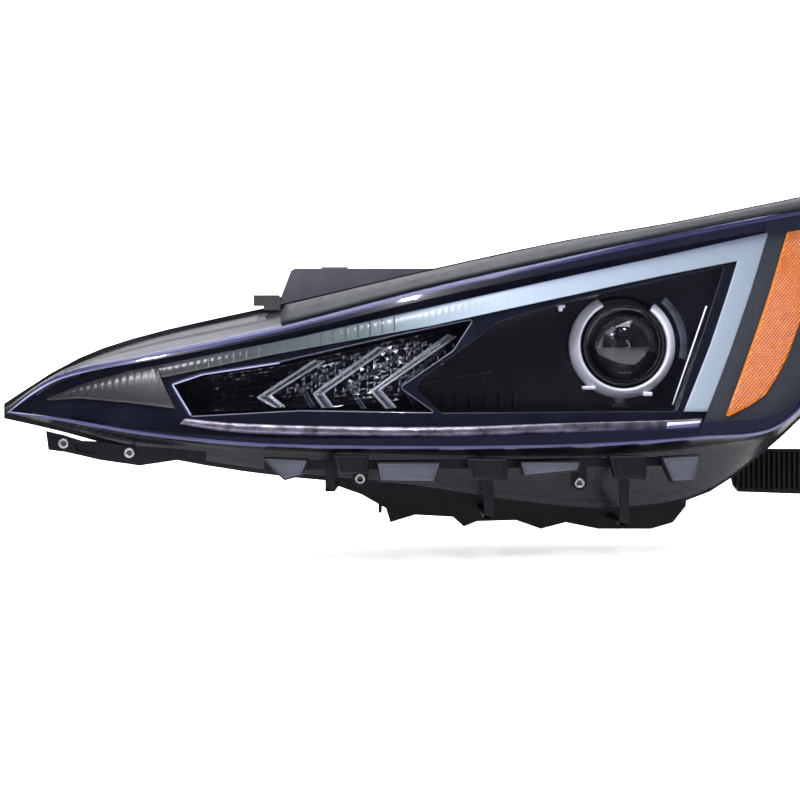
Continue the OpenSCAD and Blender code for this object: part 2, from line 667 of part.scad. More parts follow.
// Torsion spring round the shutter pin: a wire swept along four turns
module shutter_spring() {
  wire = 0.5;
  coil = 2.3;
  turns = 3;
  steps = 48;
  color([0.65, 0.66, 0.68])
    skin([for (i = [0:steps])
      let (a = 360 * turns * i / steps, x = cap_at[0] + 12.9 + 3.2 * i / steps)
      [for (b = [315:-45:0])
        let (r = coil + wire * cos(b)) [x + wire * sin(b), pivot_y + r * cos(a), shutter_z + r * sin(a)]]]);
}
module solenoid_body() {
  color([0.2, 0.2, 0.22])
    rearward([cap_at[0], 186.1, lever_z]) difference() {
      cylinder(r = 6, h = 24);
      translate([0, 0, -1]) cylinder(r = 2.2 + run, h = 21);
    }
}
module solenoid_plunger() {
  color([0.75, 0.76, 0.78]) {
    rearward([cap_at[0], 176.6, lever_z]) cylinder(r = 2.2, h = 25.4);
    rearward([cap_at[0], 176.6, lever_z]) cylinder(r = 4, h = 1.2);
    rearward([cap_at[0], 182.2, lever_z]) cylinder(r = 4, h = 0.9);
  }
}

module projector_reflector() {
  profile = [for (i = [0:10]) let (a = 90 * i / 10) [13.6 + 28.4 * cos(a), 186.1 + 50 * sin(a)]];
  shell = [for (i = [10:-1:0]) let (a = 90 * i / 10) [15.6 + 28.4 * cos(a) - 0.0, 186.1 + 52 * sin(a)]];
  color([0.8, 0.81, 0.84])
  difference() {
    on_axis(0) rotate_extrude()
      polygon(concat(profile, [[13.6, 242], [15.6, 242]], shell));
    on_axis(170) four_round(screw_circle) cylinder(r = 1.8, h = 30);
  }
}
module projector_screws() {
  color([0.72, 0.73, 0.75])
    on_axis(0) four_round(screw_circle) {
      translate([0, 0, 166.6]) cylinder(r = 2.7, h = 2.2);
      translate([0, 0, 168]) cylinder(r = 1.7, h = 19);
    }
}

module low_beam_bulb() {
  color([0.9, 0.92, 0.95, 0.5])
    on_axis(0) rotate_extrude()
      polygon([[0, 204], [3.2, 205], [capsule_r, 209], [capsule_r, 232], [0, 232]]);
}
module bulb_holder() {
  color([0.55, 0.56, 0.58]) {
    on_axis(232.1) cylinder(r = 7.4, h = 4);
    on_axis(236) cylinder(r = 11.4, h = 7);
    on_axis(242.5) cylinder(r = 21, h = 3);
    on_axis(245) cylinder(r = 10, h = 7);
    box([cap_at[0] - 9, 251, axis_z - 6], [cap_at[0] + 9, 258, axis_z + 6]);
  }
}

// ---- aiming -------------------------------------------------------------

module aim_screw() {
  color([0.72, 0.7, 0.62]) {
    rearward([screw_at[0], 170.5, screw_at[2]]) cylinder(r = thread_r, h = 75.5);
    rearward([screw_at[0], 246, screw_at[2]]) cylinder(r = journal_r + 3, h = 3.7);
    rearward([screw_at[0], 246, screw_at[2]]) cylinder(r = journal_r, h = 28);
    rearward([screw_at[0], 272.4, screw_at[2]]) cylinder(r = 7.5, h = 8, $fn = 6);
  }
}
module aim_nut() {
  color([0.9, 0.9, 0.86])
  difference() {
    union() {
      box([screw_at[0] - 8, pivot_y - 6, screw_at[2] - 7], [screw_at[0] + 8, pivot_y + 6, screw_at[2] + 7]);
      translate([screw_at[0], pivot_y, screw_at[2]]) rotate([0, 90, 0]) cylinder(r = 3, h = 30, center = true);
    }
    rearward([screw_at[0], 160, screw_at[2]]) cylinder(r = thread_r + run, h = 40);
  }
}

// ---- sockets, caps and connector ------------------------------------------

module rear_cap() {
  color([0.07, 0.07, 0.075]) {
    difference() {
      union() {
        on_axis(266) cylinder(r = collar_bore - 0.6, h = 22);
        on_axis(286) cylinder(r = 52, h = 3);
        on_axis(266) intersection() {
          cylinder(r = groove_r - 0.6, h = 4);
          union() for (a = [0, 120, 240]) rotate([0, 0, a]) translate([40, -6, 0]) cube([10, 12, 4]);
        }
      }
      on_axis(264) cylinder(r = 42, h = 20);
    }
    on_axis(288) for (a = [0, 60, 120]) rotate([0, 0, a]) translate([-38, -3, 0]) cube([76, 6, 9]);
    on_axis(288) cylinder(r = 14, h = 9);
  }
}
module rear_cap_seal() {
  color([0.03, 0.03, 0.03])
    on_axis(284.1) tube(50, 46.2, 1.8);
}

// Twist-in lamp socket: plug through the bore, sealing flange, grip and wire stub
module socket(at, seat) {
  rearward([at[0], 0, at[2]]) {
    translate([0, 0, seat - 26]) cylinder(r = socket_bore - 0.4, h = 26.5);
    translate([0, 0, seat + 0.2]) cylinder(r = 17, h = 3);
    translate([0, 0, seat + 3]) cylinder(r = 12, h = 12);
    translate([-16, -3, seat + 3]) cube([32, 6, 10]);
  }
}
module lamp_bulb(at, y0, y1) {
  rearward([at[0], 0, at[2]]) rotate_extrude()
    polygon([[0, y0], [4, y0 + 1], [8, y0 + 5], [9, y0 + 10], [8, y0 + 16], [5, y0 + 21], [5, y1], [0, y1]]);
}
module turn_socket() { color([0.6, 0.6, 0.62]) socket(turn_at, turn_seat); }
module turn_bulb() { color([0.95, 0.6, 0.15, 0.6]) lamp_bulb(turn_at, 138, turn_seat - 26.1); }
module marker_socket() { color([0.6, 0.6, 0.62]) socket(marker_at, marker_seat); }
module marker_bulb() { color([0.95, 0.6, 0.15, 0.6]) lamp_bulb(marker_at, 190, marker_seat - 26.1); }

module vent_caps() {
  color([0.1, 0.1, 0.1])
    for (p = [[110, 265.3, 95], [290, 264.6, -20]])
      rearward(p) {
        cylinder(r = 6, h = 8);
        translate([0, 0, 8]) cylinder(r = 9, h = 6);
      }
}

module connector_socket() {
  color([0.09, 0.09, 0.1])
    translate(plug_at) difference() {
      box([-25, 0, -15], [25, 3, 15]);
      box([-18, -1, -8], [18, 1, 8]);
    }
  color([0.09, 0.09, 0.1])
    translate(plug_at) difference() {
      box([-22, 2, -12], [22, 24, 12]);
      box([-20, 5, -10], [20, 30, 10]);
    }
}
module connector_pins() {
  color([0.8, 0.72, 0.45])
    translate(plug_at) for (x = [-15:6:15]) for (z = [-4, 4])
      box([x - 0.4, 5.05, z - 1], [x + 0.4, 17, z + 1]);
}

// ---- outer brackets -------------------------------------------------------

function rail_y(x) = face_y(x, -42) + 18;
block_outlines = [
  [[-112, -46.7], [-74, -48.4], [-79.5, -61.7], [-94.4, -65.8], [-104.4, -55.9]],
  [[-55, -45.2], [-26, -45.2], [-26, -60.3], [-49, -60.3]],
  [[-19.7, -50.8], [34.3, -50.8], [28.6, -68.3], [-17.2, -67.5]],
  [[55, -48.2], [89.5, -49.1], [89.5, -67.6], [60, -66]],
  [[100, -51.4], [152.6, -51.4], [149.2, -60], [103.5, -64.4]],
  [[178.7, -47.5], [210.2, -47.5], [211, -68.8], [184, -67]],
  [[225.8, -49.5], [261.3, -47.3], [254.6, -70.6], [235.8, -71.8]]];
module bumper_bracket() {
  color([0.15, 0.16, 0.19])
  difference() {
    union() {
      for (o = block_outlines)
        bar(o, rail_y(o[0][0]) - 13, rail_y(o[0][0]) + 3);
      sheet([for (i = [0:12]) let (x = mix(-112, 262, i / 12)) [for (z = [-50, -58]) [x, rail_y(x), z]]],
            [for (i = [0:12]) let (x = mix(-112, 262, i / 12)) [for (z = [-50, -58]) [x, rail_y(x) + 3, z]]]);
      for (k = [2, 3])
        let (p = screw_places[k]) box([p[0] - 7, p[1], p[2] - 7], [p[0] + 7, p[1] + 4.5, p[2] + 16]);
      for (q = legs) {
        box([q[0] - 4, rail_y(q[0]), q[1]], [q[0] + 4, rail_y(q[0]) + 3, -55]);
        box([q[0] - 4, rail_y(q[0]), q[1]], [q[0] + 4, web_y - 0.2, q[1] + 3]);
      }
    }
    for (k = [2, 3])
      let (p = screw_places[k]) rearward([p[0], p[1] - 10, p[2]]) cylinder(r = screw_r + 0.2, h = 40);
  }
}

inner_outline = [[-291, -25.5], [-278, -28.5], [-262, -33.5], [-250, -34], [-222, -38], [-190, -39.5], [-160, -42.5],
                 [-160, -52], [-180, -49], [-214, -54], [-246, -49.4], [-275, -42.8], [-289, -41]];
module inner_bracket() {
  color([0.13, 0.14, 0.17])
  difference() {
    bar(inner_outline, 27.2, 31);
    bar([[-267, -36.5], [-250, -37.5], [-250, -45], [-267, -41.5]], 20, 29.4);
    for (p = [screw_places[0], screw_places[1]])
      rearward([p[0], 0, p[2]]) cylinder(r = screw_r + 0.2, h = 60);
  }
}

module fender_bracket() {
  color([0.04, 0.04, 0.05]) {
    bar([[328, -84], [333, -90.5], [420, -93.5], [420, -48], [328.6, -48], [322.2, -52], [308.4, -60],
         [312, -68], [326, -74]], 232, 235);
    for (x = [331:5:416])
      box([x, 227, -88], [x + 2, 233, -52]);
  }
}

module bracket_screws() {
  color([0.75, 0.76, 0.78])
    for (p = screw_places)
      rearward([p[0], p[1] - 3, p[2]]) difference() {
        union() {
          cylinder(r = screw_head_r, h = 2.9);
          cylinder(r = screw_r, h = 13);
        }
        translate([0, 0, -1]) cylinder(r = 1.8, h = 2.6, $fn = 6);
      }
}

// ---- assembly -------------------------------------------------------------

module place() {
  translate(-eye) children();
}
place() housing();
place() lens_sealant();
place() outer_lens();
place() hood_seal_strip();
place() hood_clip();
place() bezel();
place() side_bezel();
place() drl_light_guide();
place() drl_circuit_board();
place() lower_light_bar();
place() turn_reflector();
place() turn_blade_inner();
place() turn_blade_middle();
place() turn_blade_outer();
place() side_reflector();
place() projector_ring();
place() projector_lens();
place() lens_holder();
place() shutter_frame();
place() shutter_plate();
place() shutter_pin();
place() shutter_spring();
place() solenoid_body();
place() solenoid_plunger();
place() projector_reflector();
place() projector_screws();
place() pivot_pins();
place() projector_frame();
place() low_beam_bulb();
place() bulb_holder();
place() aim_screw();
place() aim_nut();
place() rear_cap();
place() rear_cap_seal();
place() turn_bulb();
place() turn_socket();
place() marker_bulb();
place() marker_socket();
place() vent_caps();
place() connector_socket();
place() connector_pins();
place() bumper_bracket();
place() inner_bracket();
place() fender_bracket();
place() bracket_screws();
place() cap_ring();
place() aim_bush();
place() upper_mount();
place() outer_mount();
place() fender_mount();
place() locating_pin();
place() upper_carrier();
place() lower_web();
place() lamp_seats();
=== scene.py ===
import math

import bmesh
import bpy
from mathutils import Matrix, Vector


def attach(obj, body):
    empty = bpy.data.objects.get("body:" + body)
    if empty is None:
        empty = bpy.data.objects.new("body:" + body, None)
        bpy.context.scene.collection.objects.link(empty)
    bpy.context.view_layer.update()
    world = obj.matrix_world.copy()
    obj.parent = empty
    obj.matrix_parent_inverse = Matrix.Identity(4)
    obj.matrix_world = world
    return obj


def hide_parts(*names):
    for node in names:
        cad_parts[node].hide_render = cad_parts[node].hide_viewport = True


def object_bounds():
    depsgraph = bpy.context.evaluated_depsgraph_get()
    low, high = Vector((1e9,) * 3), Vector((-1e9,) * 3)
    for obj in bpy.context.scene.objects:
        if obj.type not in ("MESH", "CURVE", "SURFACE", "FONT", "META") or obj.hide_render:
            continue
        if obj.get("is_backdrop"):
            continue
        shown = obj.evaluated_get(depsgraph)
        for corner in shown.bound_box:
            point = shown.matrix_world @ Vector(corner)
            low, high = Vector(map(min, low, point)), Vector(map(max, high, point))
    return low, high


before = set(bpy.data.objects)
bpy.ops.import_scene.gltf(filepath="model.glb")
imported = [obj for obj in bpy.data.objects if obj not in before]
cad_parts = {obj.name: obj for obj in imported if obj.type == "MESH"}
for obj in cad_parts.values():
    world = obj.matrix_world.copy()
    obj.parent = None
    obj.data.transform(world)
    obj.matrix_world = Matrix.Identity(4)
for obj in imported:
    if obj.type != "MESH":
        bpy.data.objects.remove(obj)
cad_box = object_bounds()
scene = bpy.context.scene
BASE = "lamp_base"

# ---- drawing frame: X outboard, Y rearward, Z up, millimetres from the lens tip ------------
EYE = (-65.0, 254.0, 132.0)


def at(p):
    """Place in the scene, in metres, of a point of the drawing frame."""
    return Vector([(p[k] - EYE[k]) / 1000 for k in range(3)])


def mix(a, b, s):
    """Number or point at share s between a and b."""
    if isinstance(a, (int, float)):
        return a + (b - a) * s
    return tuple(x + (y - x) * s for x, y in zip(a, b))


def add(a, b):
    return tuple(x + y for x, y in zip(a, b))


def curve(pts, t):
    """Point at t, from 0 to 1, on a smooth curve through the points."""
    n = len(pts) - 1
    k = min(int(t * n), n - 1)
    s = t * n - k
    a, b, c, d = pts[max(k - 1, 0)], pts[k], pts[k + 1], pts[min(k + 2, n)]
    return tuple(
        0.5 * (2 * q + (r - p) * s + (2 * p - 5 * q + 4 * r - w) * s * s + (3 * q - p - 3 * r + w) * s**3)
        for p, q, r, w in zip(a, b, c, d)
    )


def path(pts, t):
    """Point at t, from 0 to 1, on straight lines through the points."""
    n = len(pts) - 1
    k = min(int(t * n), n - 1)
    return mix(pts[k], pts[k + 1], t * n - k)


def face_y(x, z):
    """Depth of the lens face at a place in the front view."""
    q = max(0, (x + 316) / 760)
    return 8 + 30 * q + 150 * q**3 + 0.22 * z + 0.0006 * (z - 30) ** 2


def jitter(i, j, k=0):
    """Repeatable number from 0 to 1."""
    v = math.sin(i * 12.9898 + j * 78.233 + k * 37.719) * 43758.5453
    return v - math.floor(v)


LENS_TOP = [(-318, -9), (-276, 20.3), (-204, 36.8), (-99, 60.4), (25, 94.4), (144, 124.1), (242, 148.6),
            (350, 174.4), (387, 183), (419, 191), (451, 197.4)]
LENS_BOTTOM = [(-318, -10.5), (-274, -16.9), (-202, -29.1), (-110, -37.7), (0, -40.4), (100, -40.4),
               (179, -38.7), (262, -34.1), (339, -26.1), (392, 21.4), (430, 106)]
FLANGE_TOP = [(-323, 16, -3), (-270, 33, 33), (-210, 50, 56), (-100, 72, 83), (26, 102, 115.5),
              (149, 127, 144.5), (247, 152, 163.5), (355, 205, 190), (393, 228, 200), (425, 250, 208),
              (457, 272, 216)]
FLANGE_BOTTOM = [(-323, 16, -15), (-278, 24, -26), (-207, 38, -46), (-115, 57, -63), (0, 78, -76),
                 (108, 99, -93), (188, 118, -100), (275, 146, -89), (352, 184, -44), (412, 214, 12),
                 (452, 252, 104)]

# ---- materials ----------------------------------------------------------------------------


def nodes_of(name):
    """New material with empty nodes: material, tree, output, coordinates."""
    m = bpy.data.materials.new(name)
    m.use_nodes = True
    t = m.node_tree
    t.nodes.clear()
    out = t.nodes.new("ShaderNodeOutputMaterial")
    coord = t.nodes.new("ShaderNodeTexCoord")
    return m, t, out, coord


def noise(t, coord, scale, detail=4.0, stretch=(1, 1, 1)):
    """Noise fixed to the object."""
    mapping = t.nodes.new("ShaderNodeMapping")
    mapping.inputs["Scale"].default_value = stretch
    t.links.new(coord.outputs["Object"], mapping.inputs["Vector"])
    n = t.nodes.new("ShaderNodeTexNoise")
    n.inputs["Scale"].default_value = scale
    n.inputs["Detail"].default_value = detail
    t.links.new(mapping.outputs["Vector"], n.inputs["Vector"])
    return n.outputs["Fac"]


def ramp(t, fac, stops):
    """Colour from a factor, by stops of position and colour."""
    r = t.nodes.new("ShaderNodeValToRGB")
    while len(r.color_ramp.elements) < len(stops):
        r.color_ramp.elements.new(0.5)
    for e, (pos, col) in zip(r.color_ramp.elements, stops):
        e.position = pos
        e.color = (*col, 1)
    t.links.new(fac, r.inputs["Fac"])
    return r.outputs["Color"]


def bump(t, height, strength, distance):
    """Normal from a height."""
    b = t.nodes.new("ShaderNodeBump")
    b.inputs["Strength"].default_value = strength
    b.inputs["Distance"].default_value = distance
    t.links.new(height, b.inputs["Height"])
    return b.outputs["Normal"]


def surface(name, dark, light, rough, metal=0.0, grain=900.0, relief=0.15, coat=0.0, spread=None, patch=35.0,
            spec=0.5, depth=0.0002, stretch=(1, 1, 1)):
    """Opaque finish: colour drifts between two tones, roughness varies, and a fine grain gives relief."""
    m, t, out, coord = nodes_of(name)
    p = t.nodes.new("ShaderNodeBsdfPrincipled")
    t.links.new(ramp(t, noise(t, coord, patch, 5), [(0.3, dark), (0.7, light)]), p.inputs["Base Color"])
    spread = spread if spread is not None else rough * 0.25
    r = t.nodes.new("ShaderNodeMapRange")
    r.inputs["To Min"].default_value = max(rough - spread, 0.01)
    r.inputs["To Max"].default_value = rough + spread
    t.links.new(noise(t, coord, patch * 3, 3, stretch), r.inputs["Value"])
    t.links.new(r.outputs["Result"], p.inputs["Roughness"])
    p.inputs["Metallic"].default_value = metal
    p.inputs["Specular IOR Level"].default_value = spec
    if coat:
        p.inputs["Coat Weight"].default_value = coat
        p.inputs["Coat Roughness"].default_value = 0.03
    if relief:
        t.links.new(bump(t, noise(t, coord, grain, 3, stretch), relief, depth), p.inputs["Normal"])
    t.links.new(p.outputs["BSDF"], out.inputs["Surface"])
    return m


def thin_clear(name, tint, ior=1.45, rough=0.02, haze=0.0, haze_colour=(0.4, 0.42, 0.5), flutes=0.0,
               shine=(1, 1, 1), most=0.3):
    """Thin clear plastic: the surface mirrors by Fresnel, up to a share, and haze hides what is behind."""
    m, t, out, coord = nodes_of(name)
    clear = t.nodes.new("ShaderNodeBsdfTransparent")
    clear.inputs["Color"].default_value = (*tint, 1)
    gloss = t.nodes.new("ShaderNodeBsdfGlossy")
    gloss.inputs["Color"].default_value = (*shine, 1)
    gloss.inputs["Roughness"].default_value = rough
    fres = t.nodes.new("ShaderNodeFresnel")
    fres.inputs["IOR"].default_value = ior
    blend = t.nodes.new("ShaderNodeMixShader")
    cap = t.nodes.new("ShaderNodeMath")
    cap.operation = "MINIMUM"
    cap.inputs[1].default_value = most
    t.links.new(fres.outputs["Fac"], cap.inputs[0])
    t.links.new(cap.outputs["Value"], blend.inputs["Fac"])
    t.links.new(clear.outputs["BSDF"], blend.inputs[1])
    t.links.new(gloss.outputs["BSDF"], blend.inputs[2])
    last = blend.outputs["Shader"]
    if flutes:
        w = t.nodes.new("ShaderNodeTexWave")
        w.inputs["Scale"].default_value = flutes
        w.inputs["Distortion"].default_value = 0.0
        t.links.new(coord.outputs["Object"], w.inputs["Vector"])
        n = bump(t, w.outputs["Fac"], 1.0, 0.0008)
        t.links.new(n, gloss.inputs["Normal"])
        t.links.new(n, fres.inputs["Normal"])
    else:
        n = bump(t, noise(t, coord, 60, 2), 0.02, 0.0005)
        t.links.new(n, gloss.inputs["Normal"])
    if haze:
        milk = t.nodes.new("ShaderNodeBsdfPrincipled")
        a = tuple(c * 0.75 for c in haze_colour)
        t.links.new(ramp(t, noise(t, coord, 40, 4), [(0.3, a), (0.7, haze_colour)]), milk.inputs["Base Color"])
        milk.inputs["Roughness"].default_value = 0.25
        top = t.nodes.new("ShaderNodeMixShader")
        top.inputs["Fac"].default_value = haze
        t.links.new(last, top.inputs[1])
        t.links.new(milk.outputs["BSDF"], top.inputs[2])
        last = top.outputs["Shader"]
    t.links.new(last, out.inputs["Surface"])
    return m


M = {
    "clear": thin_clear("lens_clear", (0.93, 0.94, 0.985), ior=1.35, shine=(0.7, 0.74, 0.95), most=0.05),
    "lip": thin_clear("lens_lip", (0.30, 0.31, 0.46), ior=1.4, rough=0.05, haze=0.3,
                      haze_colour=(0.02, 0.021, 0.05), shine=(0.6, 0.62, 0.95), most=0.14),
    # pale lilac on the lens rims is a painted highlight: it stands in for light caught by the clear lens edge
    "rim_highlight": surface("lens_rim_painted_highlight", (0.30, 0.31, 0.50), (0.46, 0.47, 0.68), 0.12, grain=300, relief=0.02),
    # dim copy of the rim colour for the turn pocket's rounded edge: grey over the black bezel as a faint
    # painted highlight
    "rim_highlight_dim": surface("pocket_edge_painted_highlight", (0.05, 0.05, 0.08), (0.09, 0.09, 0.13), 0.12, grain=300, relief=0.02),
    "skirt": thin_clear("lens_skirt", (0.45, 0.46, 0.5), ior=1.35, rough=0.2, haze=0.5,
                        haze_colour=(0.045, 0.046, 0.06), shine=(0.2, 0.2, 0.24), most=0.2),
    "chin": thin_clear("lens_chin", (0.4, 0.41, 0.45), ior=1.35, rough=0.1, haze=0.35,
                       haze_colour=(0.012, 0.013, 0.018), flutes=60.0, shine=(0.12, 0.125, 0.16), most=0.1),
    "gloss_black": surface("gloss_black", (0.004, 0.0045, 0.009), (0.008, 0.009, 0.016), 0.07, grain=300,
                           relief=0.02, spec=0.15),
    "pocket_black": surface("pocket_black", (0.003, 0.003, 0.006), (0.008, 0.009, 0.014), 0.16, grain=500,
                            relief=0.05),
    "seal": surface("seal_rubber", (0.018, 0.020, 0.025), (0.025, 0.028, 0.033), 0.62, grain=1600, relief=0.3,
                    spec=0.2),
    "side": surface("side_bezel_grain", (0.022, 0.026, 0.032), (0.030, 0.034, 0.040), 0.45, grain=1800,
                    relief=0.25),
    "housing": surface("housing_plastic", (0.003, 0.0032, 0.005), (0.006, 0.0065, 0.009), 0.42, grain=1200,
                       relief=0.3, spec=0.1),
    "carrier": surface("carrier_plastic", (0.04, 0.038, 0.055), (0.06, 0.057, 0.078), 0.4, grain=1200,
                       relief=0.25),
    "bracket": surface("bracket_plastic", (0.003, 0.0035, 0.005), (0.006, 0.007, 0.010), 0.35, grain=1400,
                       relief=0.25, spec=0.1),
    "pad": surface("pad_plastic", (0.035, 0.038, 0.055), (0.055, 0.058, 0.078), 0.38, grain=1400,
                   relief=0.2, spec=0.3),
    # near-white, mostly diffuse chrome: a painted sheen that stands in for the bright reflections of the ring
    # and small chrome bits
    "pale_chrome_sheen": surface("chrome_painted_sheen", (0.78, 0.78, 0.86), (0.88, 0.88, 0.95), 0.32, metal=0.15, grain=400,
                     relief=0.05),
    "sparkle": surface("sparkle_chrome", (0.55, 0.55, 0.60), (0.9, 0.9, 0.95), 0.16, metal=0.85, grain=500,
                       relief=0.5, depth=0.0006),
    "bar": surface("bar_chrome", (0.05, 0.035, 0.04), (0.26, 0.24, 0.30), 0.16, metal=0.6, grain=260,
                   relief=0.4, patch=90, depth=0.0006, stretch=(1, 1, 3)),
    "facets": surface("facet_chrome", (0.62, 0.63, 0.68), (0.85, 0.86, 0.9), 0.1, metal=1.0, grain=900,
                      relief=0.15),
    "steel": surface("zinc_steel", (0.22, 0.22, 0.23), (0.36, 0.36, 0.37), 0.35, metal=1.0, grain=1500,
                     relief=0.1, stretch=(1, 1, 8)),
    "cast": surface("die_cast", (0.22, 0.22, 0.24), (0.32, 0.32, 0.34), 0.45, metal=1.0, grain=800,
                    relief=0.3),
    "nylon": surface("black_nylon", (0.012, 0.012, 0.014), (0.022, 0.022, 0.025), 0.45, grain=1300,
                     relief=0.3),
    "acetal": surface("white_acetal", (0.62, 0.61, 0.57), (0.72, 0.71, 0.67), 0.35, grain=1000, relief=0.1),
    "grey_nylon": surface("grey_nylon", (0.16, 0.16, 0.17), (0.24, 0.24, 0.25), 0.4, grain=1000, relief=0.2),
    "brass": surface("tinned_brass", (0.62, 0.5, 0.25), (0.75, 0.62, 0.34), 0.25, metal=1.0, grain=1500,
                     relief=0.1),
    "board": surface("solder_mask", (0.02, 0.1, 0.04), (0.04, 0.15, 0.06), 0.3, grain=700, relief=0.1,
                     patch=200),
    "mount": surface("zinc_nickel", (0.10, 0.10, 0.11), (0.17, 0.17, 0.18), 0.35, metal=0.8, grain=900,
                     relief=0.2),
    "butyl": surface("butyl_bead", (0.01, 0.01, 0.01), (0.02, 0.02, 0.02), 0.7, grain=300, relief=0.4),
    "barrel": surface("barrel_black", (0.006, 0.006, 0.008), (0.012, 0.012, 0.015), 0.3, grain=900,
                      relief=0.1),
    "amber_bulb": thin_clear("amber_bulb_glass", (0.95, 0.45, 0.06), ior=1.5),
    "bulb": thin_clear("bulb_glass", (0.92, 0.94, 0.97), ior=1.5),
}


def guide_material():
    """Light guide: pale blue-grey with fine vertical optics, fading to clear smoked plastic at the tip."""
    m, t, out, coord = nodes_of("guide_diffuser")
    sep = t.nodes.new("ShaderNodeSeparateXYZ")
    t.links.new(coord.outputs["Object"], sep.inputs["Vector"])
    p = t.nodes.new("ShaderNodeBsdfPrincipled")
    span = t.nodes.new("ShaderNodeMapRange")
    span.inputs["From Min"].default_value = at((-283, 0, 0)).x
    span.inputs["From Max"].default_value = at((351, 0, 0)).x
    t.links.new(sep.outputs["X"], span.inputs["Value"])
    tone = ramp(t, span.outputs["Result"], [(0.0, (0.03, 0.026, 0.026)), (0.13, (0.045, 0.04, 0.04)),
                                            (0.25, (0.055, 0.065, 0.06)), (0.40, (0.11, 0.14, 0.14)),
                                            (0.5, (0.30, 0.36, 0.40)), (0.58, (0.42, 0.49, 0.56)),
                                            (0.8, (0.31, 0.36, 0.41)), (1.0, (0.24, 0.28, 0.32))])
    t.links.new(tone, p.inputs["Base Color"])
    p.inputs["Roughness"].default_value = 0.22
    w = t.nodes.new("ShaderNodeTexWave")
    w.inputs["Scale"].default_value = 55
    t.links.new(coord.outputs["Object"], w.inputs["Vector"])
    t.links.new(bump(t, w.outputs["Fac"], 0.12, 0.0006), p.inputs["Normal"])
    clear = t.nodes.new("ShaderNodeBsdfTransparent")
    clear.inputs["Color"].default_value = (0.75, 0.68, 0.68, 1)
    see = t.nodes.new("ShaderNodeMapRange")
    see.inputs["From Min"].default_value = at((-270, 0, 0)).x
    see.inputs["From Max"].default_value = at((-150, 0, 0)).x
    see.inputs["To Min"].default_value = 0.6
    see.inputs["To Max"].default_value = 1.0
    t.links.new(sep.outputs["X"], see.inputs["Value"])
    blend = t.nodes.new("ShaderNodeMixShader")
    t.links.new(see.outputs["Result"], blend.inputs["Fac"])
    t.links.new(clear.outputs["BSDF"], blend.inputs[1])
    t.links.new(p.outputs["BSDF"], blend.inputs[2])
    t.links.new(blend.outputs["Shader"], out.inputs["Surface"])
    return m


def amber_material(name, dark, light):
    """Amber reflex optics."""
    m, t, out, coord = nodes_of(name)
    p = t.nodes.new("ShaderNodeBsdfPrincipled")
    t.links.new(ramp(t, noise(t, coord, 120, 2), [(0.3, dark), (0.7, light)]), p.inputs["Base Color"])
    p.inputs["Roughness"].default_value = 0.14
    p.inputs["Coat Weight"].default_value = 0.2
    t.links.new(bump(t, noise(t, coord, 900, 2), 0.05, 0.0002), p.inputs["Normal"])
    t.links.new(p.outputs["BSDF"], out.inputs["Surface"])
    return m


def acrylic_material(name, dark, light, edge_blend):
    """Clear acrylic blade: bright edges by Fresnel over a cool grey body."""
    m, t, out, coord = nodes_of(name)
    p = t.nodes.new("ShaderNodeBsdfPrincipled")
    t.links.new(ramp(t, noise(t, coord, 90, 4), [(0.3, dark), (0.7, light)]), p.inputs["Base Color"])
    p.inputs["Metallic"].default_value = 0.3
    p.inputs["Roughness"].default_value = 0.14
    t.links.new(bump(t, noise(t, coord, 260, 2), 0.25, 0.0008), p.inputs["Normal"])
    clear = t.nodes.new("ShaderNodeBsdfTransparent")
    clear.inputs["Color"].default_value = (0.85, 0.88, 0.92, 1)
    edge = t.nodes.new("ShaderNodeLayerWeight")
    edge.inputs["Blend"].default_value = edge_blend
    blend = t.nodes.new("ShaderNodeMixShader")
    t.links.new(edge.outputs["Facing"], blend.inputs["Fac"])
    t.links.new(clear.outputs["BSDF"], blend.inputs[1])
    t.links.new(p.outputs["BSDF"], blend.inputs[2])
    t.links.new(blend.outputs["Shader"], out.inputs["Surface"])
    return m


def beam_glass():
    """Projector lens: pressed glass with a faint coating tint."""
    m, t, out, coord = nodes_of("beam_glass")
    g = t.nodes.new("ShaderNodeBsdfPrincipled")
    g.inputs["Base Color"].default_value = (0.42, 0.39, 0.40, 1)
    g.inputs["Roughness"].default_value = 0.01
    g.inputs["IOR"].default_value = 1.5
    g.inputs["Transmission Weight"].default_value = 1.0
    g.inputs["Specular IOR Level"].default_value = 0.35
    t.links.new(bump(t, noise(t, coord, 300, 2), 0.01, 0.0002), g.inputs["Normal"])
    t.links.new(g.outputs["BSDF"], out.inputs["Surface"])
    return m


M["bezel_rib"] = surface("bezel_rib", (0.02, 0.022, 0.035), (0.035, 0.038, 0.055), 0.2, grain=500, relief=0.05)
M["guide_joint"] = surface("guide_joint", (0.02, 0.025, 0.023), (0.035, 0.04, 0.038), 0.3, grain=500,
                           relief=0.05)
M["guide"] = guide_material()
M["amber"] = amber_material("amber_reflex", (0.62, 0.15, 0.004), (0.74, 0.20, 0.006))
# darker copy of the amber for the pyramids' lower faces: painted shade
M["amber_shade"] = amber_material("amber_painted_shade", (0.26, 0.045, 0.002), (0.36, 0.07, 0.003))
M["amber_brown"] = amber_material("amber_inset", (0.12, 0.03, 0.01), (0.17, 0.045, 0.015))
M["acrylic"] = acrylic_material("clear_acrylic", (0.50, 0.53, 0.60), (0.80, 0.82, 0.9), 0.85)
# brighter copy of the acrylic: painted highlights on the blade edges and the prism links
M["acrylic_highlight"] = acrylic_material("acrylic_painted_highlight", (0.6, 0.62, 0.68), (0.95, 0.96, 1.0), 0.9)
# darker copy of the acrylic: painted shade on the rear chevrons and the pieces deep in the beam pocket
M["acrylic_shade"] = acrylic_material("acrylic_painted_shade", (0.16, 0.18, 0.22), (0.34, 0.37, 0.44), 0.7)
M["beam_glass"] = beam_glass()

# ---- mesh helpers -------------------------------------------------------------------------


